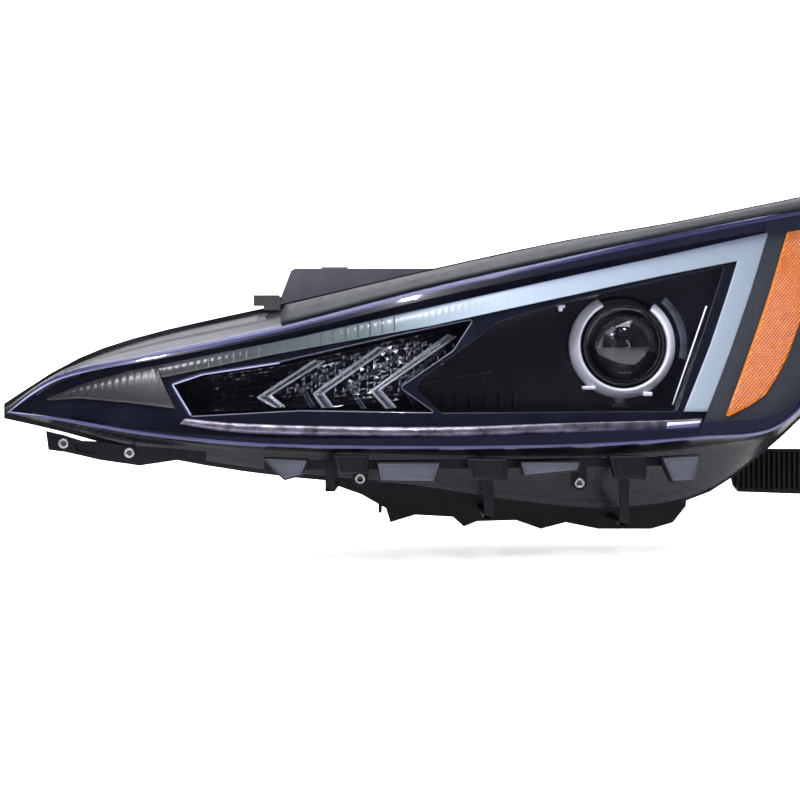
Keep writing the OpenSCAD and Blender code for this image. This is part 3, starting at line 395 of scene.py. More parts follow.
def piece(name, verts, faces, mats, picks=None, body=BASE, smooth=True, replaces=(), slot=None, drawn=True):
    mesh = bpy.data.meshes.new(name)
    mesh.from_pydata([at(v) if drawn else v for v in verts], [], faces)
    for m in mats:
        mesh.materials.append(M[m])
    for i, f in enumerate(mesh.polygons):
        f.use_smooth = smooth
        if picks:
            f.material_index = picks[i]
    bm = bmesh.new()
    bm.from_mesh(mesh)
    bmesh.ops.remove_doubles(bm, verts=bm.verts, dist=1e-6)
    bmesh.ops.recalc_face_normals(bm, faces=bm.faces)
    bm.to_mesh(mesh)
    bm.free()
    obj = bpy.data.objects.new(name, mesh)
    scene.collection.objects.link(obj)
    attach(obj, body)
    if replaces:
        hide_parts(*replaces)
    return obj


def loft_data(rings, closed=True, caps=True, pick=None):
    n = len(rings[0])
    verts = [p for r in rings for p in r]
    faces, picks = [], []
    for i in range(len(rings) - 1):
        for j in range(n if closed else n - 1):
            k = (j + 1) % n
            faces.append((i * n + j, i * n + k, (i + 1) * n + k, (i + 1) * n + j))
            picks.append(pick(i, j) if pick else 0)
    if caps:
        faces.append(tuple(range(n - 1, -1, -1)))
        faces.append(tuple((len(rings) - 1) * n + j for j in range(n)))
        picks += [0, 0]
    return verts, faces, picks


def loft(name, rings, mats, closed=True, caps=True, pick=None, **more):
    """Piece through rings of points."""
    verts, faces, picks = loft_data(rings, closed, caps, pick)
    return piece(name, verts, faces, mats, picks, **more)


def rib(P, Q, depth, thick, crown, steps, lip=0.12):
    """Rings of a bar between two edges of the front view: rounded front, square back."""
    rings = []
    for i in range(steps + 1):
        a, b = P(i / steps), Q(i / steps)
        ring = []
        for s, d in ((0, thick), (0, 0.45 * thick), (lip * 0.4, 0.1 * thick), (lip, -0.25 * crown),
                     (0.3, -0.8 * crown), (0.5, -crown), (0.7, -0.8 * crown), (1 - lip, -0.25 * crown),
                     (1 - lip * 0.4, 0.1 * thick), (1, 0.45 * thick), (1, thick)):
            x, z = mix(a, b, s)
            ring.append((x, face_y(x, z) + depth + d, z))
        rings.append(ring)
    return rings


BOX_SIDES = ((0, 1, 3, 2), (4, 6, 7, 5), (0, 4, 5, 1), (2, 3, 7, 6), (0, 2, 6, 4), (1, 5, 7, 3))


def box_faces(lo, hi, verts, faces):
    """Adds a box between two corners to the lists."""
    k = len(verts)
    verts += [(x, y, z) for x in (lo[0], hi[0]) for y in (lo[1], hi[1]) for z in (lo[2], hi[2])]
    faces += [tuple(k + q for q in f) for f in BOX_SIDES]


def boxes(name, spans, mat, **more):
    """Piece made of boxes."""
    verts, faces = [], []
    for lo, hi in spans:
        box_faces(lo, hi, verts, faces)
    return piece(name, verts, faces, [mat], smooth=False, **more)


def bevel(obj, width=0.0006, segments=2, angle=35):
    b = obj.modifiers.new("edge", "BEVEL")
    b.width = width
    b.segments = segments
    b.limit_method = "ANGLE"
    b.angle_limit = math.radians(angle)
    b.harden_normals = False
    return obj


# ---- camera and light ---------------------------------------------------------------------
cam_data = bpy.data.cameras.new("camera")
cam_data.sensor_width = 36
cam_data.lens = 56.25
cam_data.clip_start = 0.01
cam = bpy.data.objects.new("camera", cam_data)
cam.location = at((0, -1000, 0))
cam.rotation_euler = (math.radians(90), 0, 0)
scene.collection.objects.link(cam)
scene.camera = cam
scene.view_settings.view_transform = "Standard"

world = bpy.data.worlds.new("studio")
scene.world = world
world.use_nodes = True
wt = world.node_tree
wt.nodes["Background"].inputs["Color"].default_value = (0.9, 0.92, 1.0, 1)
wt.nodes["Background"].inputs["Strength"].default_value = 0.12


def area(name, place, aim, size, power, colour=(1, 1, 1)):
    """Soft rectangular light at a place, turned to its aim."""
    d = bpy.data.lights.new(name, "AREA")
    d.shape = "RECTANGLE"
    d.size, d.size_y = size
    d.energy = power
    d.color = colour
    o = bpy.data.objects.new(name, d)
    o.location = at(place)
    o.rotation_euler = (at(aim) - at(place)).to_track_quat("-Z", "Y").to_euler()
    scene.collection.objects.link(o)


area("key_top", (60, -350, 1500), (60, 80, 60), (1.6, 0.9), 20)
area("key_front", (100, -800, 1250), (60, 100, 30), (1.2, 0.4), 15)
area("fill_left", (-1300, -900, 500), (-50, 60, 0), (0.6, 1.4), 7, (0.9, 0.93, 1))
area("fill_right", (1200, 1000, 700), (300, 150, 50), (0.6, 1.0), 6, (0.95, 0.96, 1))
area("low_front", (50, -1100, -420), (50, 60, -30), (1.4, 0.12), 3, (0.88, 0.9, 1))
area("back_wash", (0, 650, 1700), (0, 1400, 100), (3.0, 1.0), 60)
area("glint_a", (330, -900, 900), (60, 80, 60), (0.06, 0.06), 4)
area("glint_b", (-350, -1100, 700), (-150, 50, 20), (0.06, 0.06), 4)


def backdrop():
    """Pale sweep: floor in front, curving up behind the lamp."""
    floor = cad_box[0][2] - 0.02
    prof = [(-3.0, floor), (0.6, floor)]
    prof += [(0.6 + 0.8 * math.sin(a), floor + 0.8 * (1 - math.cos(a))) for a in
             (math.radians(90 * k / 12) for k in range(1, 13))]
    prof.append((1.4, floor + 4))
    verts, faces = [], []
    for x in (-4, 4):
        verts += [(x, y, z) for y, z in prof]
    n = len(prof)
    for i in range(n - 1):
        faces.append((i, i + 1, n + i + 1, n + i))
    m, t, out, coord = nodes_of("pale_sweep")
    p = t.nodes.new("ShaderNodeBsdfPrincipled")
    tone = ramp(t, noise(t, coord, 3, 3), [(0.3, (0.86, 0.86, 0.86)), (0.7, (0.9, 0.9, 0.9))])
    t.links.new(tone, p.inputs["Base Color"])
    p.inputs["Roughness"].default_value = 0.9
    p.inputs["Emission Color"].default_value = (1, 1, 1, 1)
    p.inputs["Emission Strength"].default_value = 0.5
    t.links.new(p.outputs["BSDF"], out.inputs["Surface"])
    mesh = bpy.data.meshes.new("sweep")
    mesh.from_pydata(verts, [], faces)
    mesh.materials.append(m)
    for f in mesh.polygons:
        f.use_smooth = True
    o = bpy.data.objects.new("sweep", mesh)
    scene.collection.objects.link(o)
    o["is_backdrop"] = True


backdrop()

# ---- outer lens ---------------------------------------------------------------------------
COLS = 180


def rim_top(t):
    """Rear edge of the lens skirt above the face."""
    return add(curve(FLANGE_TOP, t), (mix(3, -1.5, t), 0, -4))


def rim_bottom(t):
    """Rear edge of the lens skirt below the face."""
    return add(curve(FLANGE_BOTTOM, t), (mix(3, -1.5, t), 0, 4))


def face_at(t, s, d=0.0):
    """Point of the lens face: t along the lamp, s from top to bottom, d behind the face."""
    a, b = curve(LENS_TOP, t), curve(LENS_BOTTOM, t)
    x, z = mix((a[0], a[1] - d), (b[0], b[1] + d), s)
    return (x, face_y(x, z) + d, z)


def corner(a, b, c, reach, steps):
    """Rounded corner at b between a and c."""
    la, lc = math.dist(a, b), math.dist(b, c)
    p, q = mix(b, a, min(reach / la, 0.45)), mix(b, c, min(reach / lc, 0.45))
    return [mix(mix(p, b, k / steps), mix(b, q, k / steps), k / steps) for k in range(steps + 1)]


def lens_column(t):
    """Section of the lens from the upper skirt's rear edge over the face to the lower one's."""
    a, b, c, e = rim_top(t), face_at(t, 0), face_at(t, 1), rim_bottom(t)
    up = add(mix(a, b, 0.5), (0, -1.5, 1.5))
    low = (mix(c[0], e[0], 0.5), mix(c[1], e[1], 0.5), mix(c[2], e[2], 0.18))
    f1, f2 = face_at(t, 0.06), face_at(t, 0.94)
    pts = [mix(a, up, k / 4) for k in range(4)] + [mix(up, b, k / 4) for k in range(3)]
    pts += corner(mix(up, b, 0.6), b, f1, 3.2, 5)
    pts += [face_at(t, s) for s in [mix(0.07, 0.93, k / 12) for k in range(13)]]
    pts += corner(f2, c, low, 3.2, 5)
    return pts + [mix(c, low, k / 4) for k in (2, 3)] + [mix(low, e, k / 5) for k in range(6)]


def lens_pick(i, j):
    """Slot by the point of the column: upper skirt, rim, face, rim, lower skirt."""
    if j < 7:
        return 2
    if j < 13:
        return 1
    if j < 25:
        return 0
    if j < 31:
        return 1
    return 3


rings = [lens_column(k / COLS) for k in range(COLS + 1)]
n_col = len(rings[0])
end = [add(mix(rim_top(1), rim_bottom(1), k / (n_col - 1)), (0.5, 0, 0)) for k in range(n_col)]
loft("lens_shell", rings + [end], ["clear", "lip", "skirt", "chin"], closed=False, caps=False, pick=lens_pick,
     replaces=["outer_lens"], slot="clear_lens")


def edge_bead(name, at_edge, radius, mat):
    """Thick rounded rim along the inside of the lens edge; its pale colour is a painted highlight for the light
    that the clear edge catches.
    """
    rings = []
    for k in range(COLS + 1):
        t = mix(0.004, 0.995, k / COLS)
        c = at_edge(t)
        r = radius * min(1, 0.25 + 6 * t)
        rings.append([(c[0], c[1] + r * 0.75 * math.cos(a), c[2] + r * math.sin(a)) for a in
                      (2 * math.pi * q / 10 for q in range(10))])
    loft(name, rings, [mat], slot="clear_lens")


# both rims are painted pale lilac as highlights
edge_bead("lens_rim_upper", lambda t: add(face_at(t, 0), (0, 3.4, -1.6)), 2.1, "rim_highlight")
edge_bead("lens_rim_lower", lambda t: add(face_at(t, 1), (0, 3.4, 1.2)), 1.3, "rim_highlight")

# ---- weather strip ------------------------------------------------------------------------


def strip_point(t, s, lift):
    """Point above the upper skirt: s from its rear edge to the face."""
    a, b = rim_top(t), face_at(t, 0)
    up = add(mix(a, b, 0.5), (0, -1.5, 1.5))
    p = mix(a, up, s * 2) if s < 0.5 else mix(up, b, s * 2 - 1)
    return add(p, (0, -0.45 * lift, 0.89 * lift))


rings = []
for k in range(121):
    t = mix(0.3, 0.995, k / 120)
    top = [strip_point(t, s, 3.4 - 0.9 * (abs(s - 0.45) * 2) ** 4) for s in [0.91 * j / 12 for j in range(13)]]
    low = [strip_point(t, s, 0.7) for s in (0.9, 0.6, 0.3, 0.0)]
    rings.append(top + low)
loft("hood_strip", rings, ["seal"], replaces=["hood_seal_strip"], slot="seal_rubber")


def inside(p, loop):
    """Whether a point of the front view lies in a loop."""
    x, z = p
    hit = False
    for i in range(len(loop)):
        (x0, z0), (x1, z1) = loop[i - 1], loop[i]
        if (z0 > z) != (z1 > z) and x < (x1 - x0) * (z - z0) / (z1 - z0) + x0:
            hit = not hit
    return hit


# ---- bezels -------------------------------------------------------------------------------
TURN_OPEN = [(-188, 13), (-164, 21.7), (-100, 31.4), (-72, 38), (0, 55.2), (62, 68.5), (45, 42.4), (1, 12),
             (1, 9), (28, -10.2), (-83, -8.3), (-172, -13)]
BEAM_OPEN = [(34, -10.2), (14, 9.6), (18, 17.1), (57, 46), (85, 67), (140, 83.7), (200, 99.4), (300, 123.7),
             (243, -9.7)]
BEZEL_DEPTH = 13.0
AX, AZ = 206.0, 50.5  # beam axis
BEAM_FLOOR_Y = 169.5
BEAM_HOLE_R = 47


def inside_edge(t, s, margin):
    """Point of the front view within the lens outline, s from top to bottom."""
    a, b = curve(LENS_TOP, t), curve(LENS_BOTTOM, t)
    return mix((a[0], a[1] - margin), (b[0], b[1] + margin), s)


def rounded(pts, r, steps=4):
    """Loop with its corners rounded."""
    out = []
    n = len(pts)
    for i in range(n):
        a, b, c = pts[i - 1], pts[i], pts[(i + 1) % n]
        la, lc = math.dist(a, b), math.dist(b, c)
        k1, k2 = min(r / la, 0.3), min(r / lc, 0.3)
        p, q = mix(b, a, k1), mix(b, c, k2)
        out += [mix(mix(p, b, s / steps), mix(b, q, s / steps), s / steps) for s in range(steps + 1)]
    return out


def offset(pts, d):
    """Loop of points moved outwards by d in the front view."""
    n = len(pts)
    area2 = sum(pts[i][0] * pts[(i + 1) % n][1] - pts[(i + 1) % n][0] * pts[i][1] for i in range(n))
    sign = 1 if area2 > 0 else -1
    out = []
    for i in range(n):
        a, b, c = pts[i - 1], pts[i], pts[(i + 1) % n]
        u = Vector((b[0] - a[0], b[1] - a[1])).normalized()
        v = Vector((c[0] - b[0], c[1] - b[1])).normalized()
        w = (u + v).normalized()
        k = 1 / max(w.dot(u), 0.5)
        out.append((b[0] + sign * d * k * w[1], b[1] - sign * d * k * w[0]))
    return out


def spaced(pts, step):
    """Loop resampled so that no side is longer than step."""
    out = []
    n = len(pts)
    for i in range(n):
        a, b = pts[i], pts[(i + 1) % n]
        k = max(1, math.ceil(math.dist(a, b) / step))
        out += [mix(a, b, s / k) for s in range(k)]
    return out


def plate(name, outer, holes, depth, mat, cell=7.0, flat=None, **more):
    """Panel with holes, cut into cells so that it can follow the lens face."""
    bm = bmesh.new()
    for loop in [outer] + holes:
        vs = [bm.verts.new((x, 0, z)) for x, z in loop]
        for i in range(len(vs)):
            bm.edges.new((vs[i], vs[(i + 1) % len(vs)]))
    bmesh.ops.triangle_fill(bm, use_beauty=True, use_dissolve=True, edges=bm.edges[:], normal=(0, -1, 0))
    xs = [v.co.x for v in bm.verts]
    zs = [v.co.z for v in bm.verts]
    for axis, lo, hi in ((0, min(xs), max(xs)), (2, min(zs), max(zs))):
        k = int((hi - lo) / cell)
        for i in range(1, k + 1):
            co, no = [0, 0, 0], [0, 0, 0]
            co[axis], no[axis] = lo + (hi - lo) * i / (k + 1), 1
            bmesh.ops.bisect_plane(bm, geom=bm.verts[:] + bm.edges[:] + bm.faces[:], plane_co=co, plane_no=no)
    bm.verts.index_update()
    verts = [(v.co.x, (flat if flat is not None else face_y(v.co.x, v.co.z) + depth), v.co.z) for v in bm.verts]
    faces = [tuple(v.index for v in f.verts) for f in bm.faces]
    bm.free()
    return piece(name, verts, faces, [mat], **more)


def pocket(name, hole, r, depth, back, mats, flat=None, taper=0.0, **more):
    """Rounded edge round a hole and the wall behind it."""
    rings = []
    for k in range(6):
        a = math.radians(90 * k / 5)
        loop = offset(hole, r * (1 - math.sin(a)))
        rings.append([(x, face_y(x, z) + depth + r * (1 - math.cos(a)), z) for x, z in loop])
    last = rings[-1]
    for s in (0.25, 0.5, 0.75, 1.0):
        loop = offset(hole, -taper * s)
        rings.append([(x, mix(p[1], flat if flat is not None else p[1] + back, s), z)
                      for (x, z), p in zip(loop, last)])
    n = len(rings[0])
    verts = [p for q in rings for p in q]
    faces, picks = [], []
    for i in range(len(rings) - 1):
        for j in range(n):
            faces.append((i * n + j, i * n + (j + 1) % n, (i + 1) * n + (j + 1) % n, (i + 1) * n + j))
            picks.append(0 if i < 5 else 1)
    return piece(name, verts, faces, mats, picks, **more)


outline = [inside_edge(mix(0.045, 0.7, k / 60), 0, 4.5) for k in range(61)]
outline += [inside_edge(mix(0.7, 0.045, k / 60), 1, 3.5) for k in range(61)]
turn_hole = spaced(rounded(TURN_OPEN, 2.5), 6)
beam_hole = spaced(rounded(BEAM_OPEN, 2.5), 6)
plate("bezel_face", outline, [offset(turn_hole, 1.0), offset(beam_hole, 1.6)], BEZEL_DEPTH, "gloss_black",
      replaces=["bezel"], slot="bezel_gloss")
# the turn pocket's rounded edge is painted dim grey as a faint highlight
pocket("bezel_turn_pocket", turn_hole, 1.0, BEZEL_DEPTH, 36, ["rim_highlight_dim", "pocket_black"], slot="bezel_gloss")
pocket("bezel_beam_pocket", beam_hole, 1.6, BEZEL_DEPTH, 0, ["gloss_black", "pocket_black"], flat=BEAM_FLOOR_Y,
       slot="bezel_gloss")
hole_round = [(AX + BEAM_HOLE_R * math.cos(a), AZ + BEAM_HOLE_R * math.sin(a)) for a in
              (math.radians(-80 + 5 * k) for k in range(69))]
# slot under the hole for the shutter's lever
hole_round += [(AX - 7.5, 4.1), (AX - 7.5, -6.5), (AX + 7.5, -6.5), (AX + 7.5, 4.1)]
plate("bezel_beam_floor", offset(beam_hole, 0.3), [hole_round], 0, "pocket_black", cell=30, flat=BEAM_FLOOR_Y,
      smooth=False, slot="bezel_gloss")

side = [inside_edge(mix(0.703, 0.985, k / 40), 0, 4.5) for k in range(41)]
side += [inside_edge(mix(0.985, 0.703, k / 40), 1, 3.5) for k in range(41)]
plate("side_panel", side, [], 12.0, "side", cell=8, replaces=["side_bezel"], slot="bezel_matt")

# ---- light guide, lower bar ---------------------------------------------------------------
GUIDE_OUTER = [(-288, 1.5), (-263, 12.3), (-223, 23.9), (-205, 27.6), (-199, 28.8), (-160, 37), (-100, 49.3),
               (26, 79.1), (143, 107.4), (242, 131.6), (351, 159.7), (326, 102.4), (300, 46), (273, -10.2)]
GUIDE_INNER = [(-288, -0.5), (-262, 1), (-222, -2.5), (-184, -7.2), (-197, 17.7), (-160, 26), (-100, 38.7),
               (26, 62.8), (140, 89.3), (234, 111.5), (314, 129.4), (302, 101.4), (278, 47), (250, -10.1)]
loft("light_guide",
     rib(lambda t: path(GUIDE_OUTER, t), lambda t: path(GUIDE_INNER, t), 9.6, 2.0, 0.5, 156, 0.07), ["guide"],
     replaces=["drl_light_guide"], slot="guide_pale")


def guide_teeth():
    """Fine dark joints between the optic segments of the guide's inner half."""
    verts, faces = [], []
    for k in range(17):
        x = -168 + 10.2 * k
        # upper and lower edge of the guide at x, on its straight stretch
        z1, z0 = 79.1 - 0.237 * (26 - x), 62.8 - 0.2 * (26 - x)
        first = len(verts)
        for dx in (-0.45, 0.45):
            for z in (z0 + 1.2, z1 - 1.0):
                for d in (8.75, 9.35):
                    verts.append((x + dx, face_y(x, z) + d, z))
        faces += [tuple(first + q for q in f) for f in BOX_SIDES]
    piece("guide_teeth", verts, faces, ["guide_joint"], smooth=False)


guide_teeth()
BAR_TOP = [(-176, -14.8), (-131, -18.9), (-50, -21.5), (42, -22.2), (137, -19.6), (236, -17.5), (268, -16.1)]
BAR_BOTTOM = [(-180, -20), (-131, -27.1), (-50, -29.7), (42, -30.5), (136, -28.1), (233, -26.9), (263, -25.2)]
loft("lower_bar", rib(lambda t: curve(BAR_TOP, t), lambda t: curve(BAR_BOTTOM, t), 9.4, 2.8, 0.9, 90, 0.12),
     ["bar"], replaces=["lower_light_bar"], slot="chrome_trim")


def bar_cell(share):
    """Line along the bar's bright end cell, at a share of the bar's height."""
    return lambda t: mix(curve(BAR_TOP, 0.83 + 0.16 * t), curve(BAR_BOTTOM, 0.83 + 0.16 * t), share)


# the bar's end cell is painted pale as a highlight
loft("lower_bar_cell", rib(bar_cell(0.22), bar_cell(0.8), 8.2, 1.0, 0.4, 24, 0.12), ["pale_chrome_sheen"])

# ---- turn signal --------------------------------------------------------------------------
BLADES = {
    "turn_blade_inner": ([(-73, 34.5), (-121, 1.9), (-106, -6.4)], [(-64, 33.5), (-109.5, 4.2), (-97, -6)]),
    "turn_blade_middle": ([(-19, 46), (-74, 5.1), (-66, -6.6)], [(-10, 45), (-65, 5.7), (-56, -6.4)]),
    "turn_blade_outer": ([(42, 57.5), (-25, 7.4), (-12, -7.4)], [(49, 55), (-17, 9), (-3, -6.6)]),
}
REAR_BLADES = [([(-50, 34), (-86, 9.5), (-77, -6.2)], [(-46, 32), (-82, 10.5), (-72, -6.2)]),
               ([(-3, 40), (-45, 10), (-33, -7.5)], [(1, 38), (-41, 11), (-28.5, -7.5)]),
               ([(36, 46), (0.5, 13), (11, -4.5)], [(40, 45), (4.5, 14), (15, -4.5)])]
# the rear chevrons sit deeper and get the darker acrylic as painted shade
for k, (P, Q) in enumerate(REAR_BLADES):
    loft("rear_chevron_%d" % k, rib(lambda t: path(P, t), lambda t: path(Q, t), 45.0, 2.5, 0.5, 32, 0.14),
         ["acrylic_shade"])


def rod(name, place, r, steps, mat, sides=8, **more):
    """Thin round bar along a line; place(t) gives its points."""
    rings = []
    for k in range(steps + 1):
        c = place(k / steps)
        after = place(min(k / steps + 0.01, 1)) if k < steps else c
        before = place(max(k / steps - 0.01, 0))
        run = (Vector(after) - Vector(before)).normalized()
        side = run.cross(Vector((0, 1, 0))).normalized()
        up = side.cross(run)
        rings.append([tuple(Vector(c) + r * (math.cos(a) * side + math.sin(a) * up)) for a in
                      (2 * math.pi * q / sides for q in range(sides))])
    return loft(name, rings, [mat], **more)


def on_face(pts, depth):
    """Line through front-view points, at a depth behind the lens face."""

    def place(t):
        x, z = path(pts, t)
        return (x, face_y(x, z) + depth, z)
    return place


POCKET_TIP = [(-171.5, -12.5), (-187.3, 12.6), (-163, 21), (-100, 30.8)]
# thin pale line along the turn pocket's tip: a painted highlight on its edge
rod("pocket_edge_line", on_face(POCKET_TIP, 12.6), 0.6, 60, "rim_highlight")
# pale rods along each blade's edges: painted highlights
for k, (P, Q) in enumerate(BLADES.values()):
    inset = [mix(a, b, 0.06) for a, b in zip(P, Q)], [mix(a, b, 0.94) for a, b in zip(P, Q)]
    for q, edge in enumerate(inset):
        rod("chevron_edge_%d_%d" % (k, q), on_face(edge, 38.0), 0.8, 40, "acrylic_highlight")
for name, (P, Q) in BLADES.items():
    loft(name.replace("turn_", "chevron_"),
         rib(lambda t: path(P, t), lambda t: path(Q, t), 38.6, 5.0, 0.6, 40, 0.14), ["acrylic"],
         replaces=[name], slot="clear_optic")

TURN_TOP = [(-184, 13), (-164, 20.5), (-100, 30), (-72, 36.5), (0, 53.5), (58, 66)]
TURN_LOW = [(-172, -10), (-160, -9.5), (-100, -7), (-72, -6.5), (0, 0), (36, 40)]


def turn_back(x, z, u, v, out=0.0):
    """Point of the bowed back wall of the turn signal."""
    c = min(max(u * 16 / 6, 0), 1)
    return (x, face_y(x, z) + 52 + 16 * math.sin(math.pi * v) * c * c * (3 - 2 * c) - out, z)


def right_of_blade(x, z):
    """Distance to the right of the nearest blade's upper arm, or -1 below the arms."""
    best = -1
    for P, Q in BLADES.values():
        (x1, z1), (x0, z0) = Q[0], Q[1]
        if z0 - 1 < z < z1 + 6:
            d = x - (x0 + (x1 - x0) * (z - z0) / (z1 - z0))
            if 0 < d and (best < 0 or d < best):
                best = d
    return best


def faceted_reflector():
    """Metallised reflector of small tilted facets: random facets beside each blade are bright chrome as painted
    glints, and elsewhere the wall is plain dark as painted shade.
    """
    cols, rows = 64, 12
    verts, faces, picks = [], [], []

    def point(u, v, out=0.0):
        x, z = mix(path(TURN_TOP, u), path(TURN_LOW, u), v)
        return turn_back(x, z, u, v, out)

    for i in range(cols):
        for j in range(rows):
            k = len(verts)
            verts += [point(i / cols, j / rows), point((i + 1) / cols, j / rows),
                      point((i + 1) / cols, (j + 1) / rows), point(i / cols, (j + 1) / rows)]
            mid = point((i + 0.25 + 0.5 * jitter(i, j)) / cols, (j + 0.25 + 0.5 * jitter(i, j, 1)) / rows, 1.3)
            verts.append(mid)
            faces += [(k, k + 1, k + 4), (k + 1, k + 2, k + 4), (k + 2, k + 3, k + 4), (k + 3, k, k + 4)]
            # facets picked here get bright chrome as painted glints; all others get black as painted shade
            glint_zone = 0 < right_of_blade(mid[0], mid[2]) < 42
            picks += [1 if glint_zone and jitter(i, j, q + 2) > 0.72 else 0 for q in range(4)]
    piece("turn_mirror", verts, faces, ["pocket_black", "sparkle"], picks, smooth=False,
          replaces=["turn_reflector"], slot="chrome_trim")


def optic_chain():
    """Columns of small prisms in front of the reflector, which show as bright links: their brighter acrylic is
    a painted highlight.
    """
    verts, faces = [], []

    def link(x, z, dx, dz, wide):
        y = face_y(x, z) + 47
        n = Vector((-dz, 0, dx)).normalized() * wide
        k = len(verts)
        verts.extend([(x - dx, y + 0.8, z - dz), (x + n.x, y + 0.8, z + n.z), (x + dx, y + 0.8, z + dz),
                      (x - n.x, y + 0.8, z - n.z), (x, y - 1.2, z)])
        faces.extend([(k + a, k + (a + 1) % 4, k + 4) for a in range(4)] + [(k + 3, k + 2, k + 1, k)])

    for i in range(26):
        for j in range(11):
            x, z = -110 + 6.8 * i, 3 + 5.6 * j
            if not 5 < right_of_blade(x, z) < 40 or not inside((x, z + 3), TURN_OPEN):
                continue
            if jitter(i, j, 5) > 0.2:
                link(x + jitter(i, j) - 0.5, z, 0.3 * jitter(i, j, 3), 2.4, 0.9)
            if jitter(i, j, 6) > 0.5:
                link(x + 3.4, z + 2.8 * jitter(i, j, 1), 2.4, 0.5, 0.8)
    piece("optic_chain", verts, faces, ["acrylic_highlight"], smooth=False)


faceted_reflector()
optic_chain()

# ---- amber reflex reflector ---------------------------------------------------------------
REFLEX_LEFT = [(372, 161.3), (359, 132), (346, 102.7), (335, 79), (325, 58), (315, 37), (306, 18), (298, 1),
               (291, -13.7)]
REFLEX_RIGHT = [(419, 171.3), (410, 145.9), (393, 104.9), (375, 71.6), (359, 40.4), (346, 21.4), (332, 4.5),
                (316, -4.8), (293, -14.7)]
PYRAMID_R = 1.8


def amber_panel():
    """Reflex panel: a shallow slab with rows of small pyramids on its face and a brown inset."""
    rings = rib(lambda t: path(REFLEX_LEFT, t), lambda t: path(REFLEX_RIGHT, t), 8.0, 2.6, 0.0, 64, 0.03)
    verts, faces, picks = loft_data(rings)
    loop = offset(REFLEX_LEFT + REFLEX_RIGHT[::-1], -1.6)
    r = PYRAMID_R
    for i in range(-10, 70):
        for j in range(-10, 90):
            x = 345 + (i - j) * r
            z = -20 + (i + j) * r
            if not inside((x, z), loop):
                continue
            k = len(verts)
            for dx, dz in ((0, -r), (r, 0), (0, r), (-r, 0)):
                verts.append((x + dx, face_y(x + dx, z + dz) + 7.95, z + dz))
            verts.append((x, face_y(x, z) + 7.0, z))
            faces += [(k + q, k + (q + 1) % 4, k + 4) for q in range(4)]
            inset = 386 < x < 412 and 130 < z < 149
            # the two lower faces of each pyramid get the darker amber as painted shade
            picks += [2] * 4 if inset else [1, 0, 0, 1]
    piece("amber_reflex_panel", verts, faces, ["amber", "amber_shade", "amber_brown"], picks, smooth=False,
          replaces=["side_reflector"], slot="amber_reflex")


amber_panel()

# ---- projector ----------------------------------------------------------------------------


def lathe(name, profile, mat, body=BASE, a0=0.0, a1=360.0, steps=144, **more):
    """Turned shape about the beam axis, from angle a0 to a1."""
    full = abs(a1 - a0) >= 359.9
    n = steps if full else steps + 1
    rings = []
    for k in range(n):
        a = math.radians(mix(a0, a1, k / steps))
        rings.append([(AX + r * math.cos(a), y, AZ + r * math.sin(a)) for r, y in profile])
    if full:
        rings.append(rings[0])
    return loft(name, rings, [mat], caps=not full, body=body, **more)


ring_profile = [(39.8, 150.6), (40.4, 149.4), (41.6, 148.8), (42.6, 149.2), (45.4, 152.4), (48.2, 156.2),
                (49.1, 158.4), (49.1, 166.9), (46.6, 166.9), (44.0, 160), (41.4, 154.5), (40.7, 161.7),
                (39.8, 161.7)]
# the ring is painted near-white as a sheen in place of chrome reflections
lathe("beam_ring", ring_profile, "pale_chrome_sheen", a0=-242, a1=53, steps=152, replaces=["projector_ring"],
      slot="chrome_trim")
LENS_R = 35.0
DOME_H = 16.0
DOME_Y = 150.0
ball = (LENS_R**2 + DOME_H**2) / (2 * DOME_H)
dome = [(0.01, 153.9), (34.6, 153.9), (35.0, 153.5), (35.0, 150.6)]
dome += [(r, DOME_Y - (math.sqrt(ball * ball - r * r) - (ball - DOME_H)))
         for r in (LENS_R * (1 - k / 28) for k in range(1, 28))]
dome.append((0.01, DOME_Y - DOME_H))
lathe("beam_lens", dome, "beam_glass", body="projector", replaces=["projector_lens"], slot="projector_glass")

# ---- small pieces in the beam pocket --------------------------------------------------------
# the ring feet, the pocket step line and the tab below are painted pale as chrome sheen
bevel(boxes("beam_ring_feet", [((AX - 38, 153, AZ - 41), (AX - 25, 159, AZ - 37.5)),
                               ((AX + 18, 153, AZ - 47), (AX + 27, 159, AZ - 43))], "pale_chrome_sheen"), 0.001)
bevel(boxes("pocket_ribs", [((x, 152, -8.5), (x + 0.9, 169, 5.5)) for x in (38 + 13.6 * k for k in range(6))],
            "bezel_rib"), 0.0003)
rod("pocket_step", lambda t: mix((275, 122, 84.2), (243.7, 118, -4.5), t), 0.7, 12, "pale_chrome_sheen")
# the thin line and the side prism below get the darker acrylic as painted shade
rod("pocket_line", lambda t: mix((16, 124, 13.5), (82, 128, 25.5), t), 0.3, 12, "acrylic_shade")
rings = []
for k in range(31):
    a = math.radians(mix(-12, 48, k / 30))
    rings.append([(AX + r * math.cos(a), y, AZ + r * math.sin(a)) for r, y in
                  ((54, 158), (58.5, 154), (59.3, 154), (59.3, 163), (54, 163))])
loft("beam_side_prism", rings, ["acrylic_shade"])
bevel(boxes("beam_tab", [((142, 149, 85), (152, 158, 88.5)), ((146, 151, 82), (150, 158, 85))], "pale_chrome_sheen"),
      0.0008)

# ---- bumper blocks ------------------------------------------------------------------------


def rail_y(x):
    """Front face of the bumper rail."""
    return face_y(x, -42) + 18


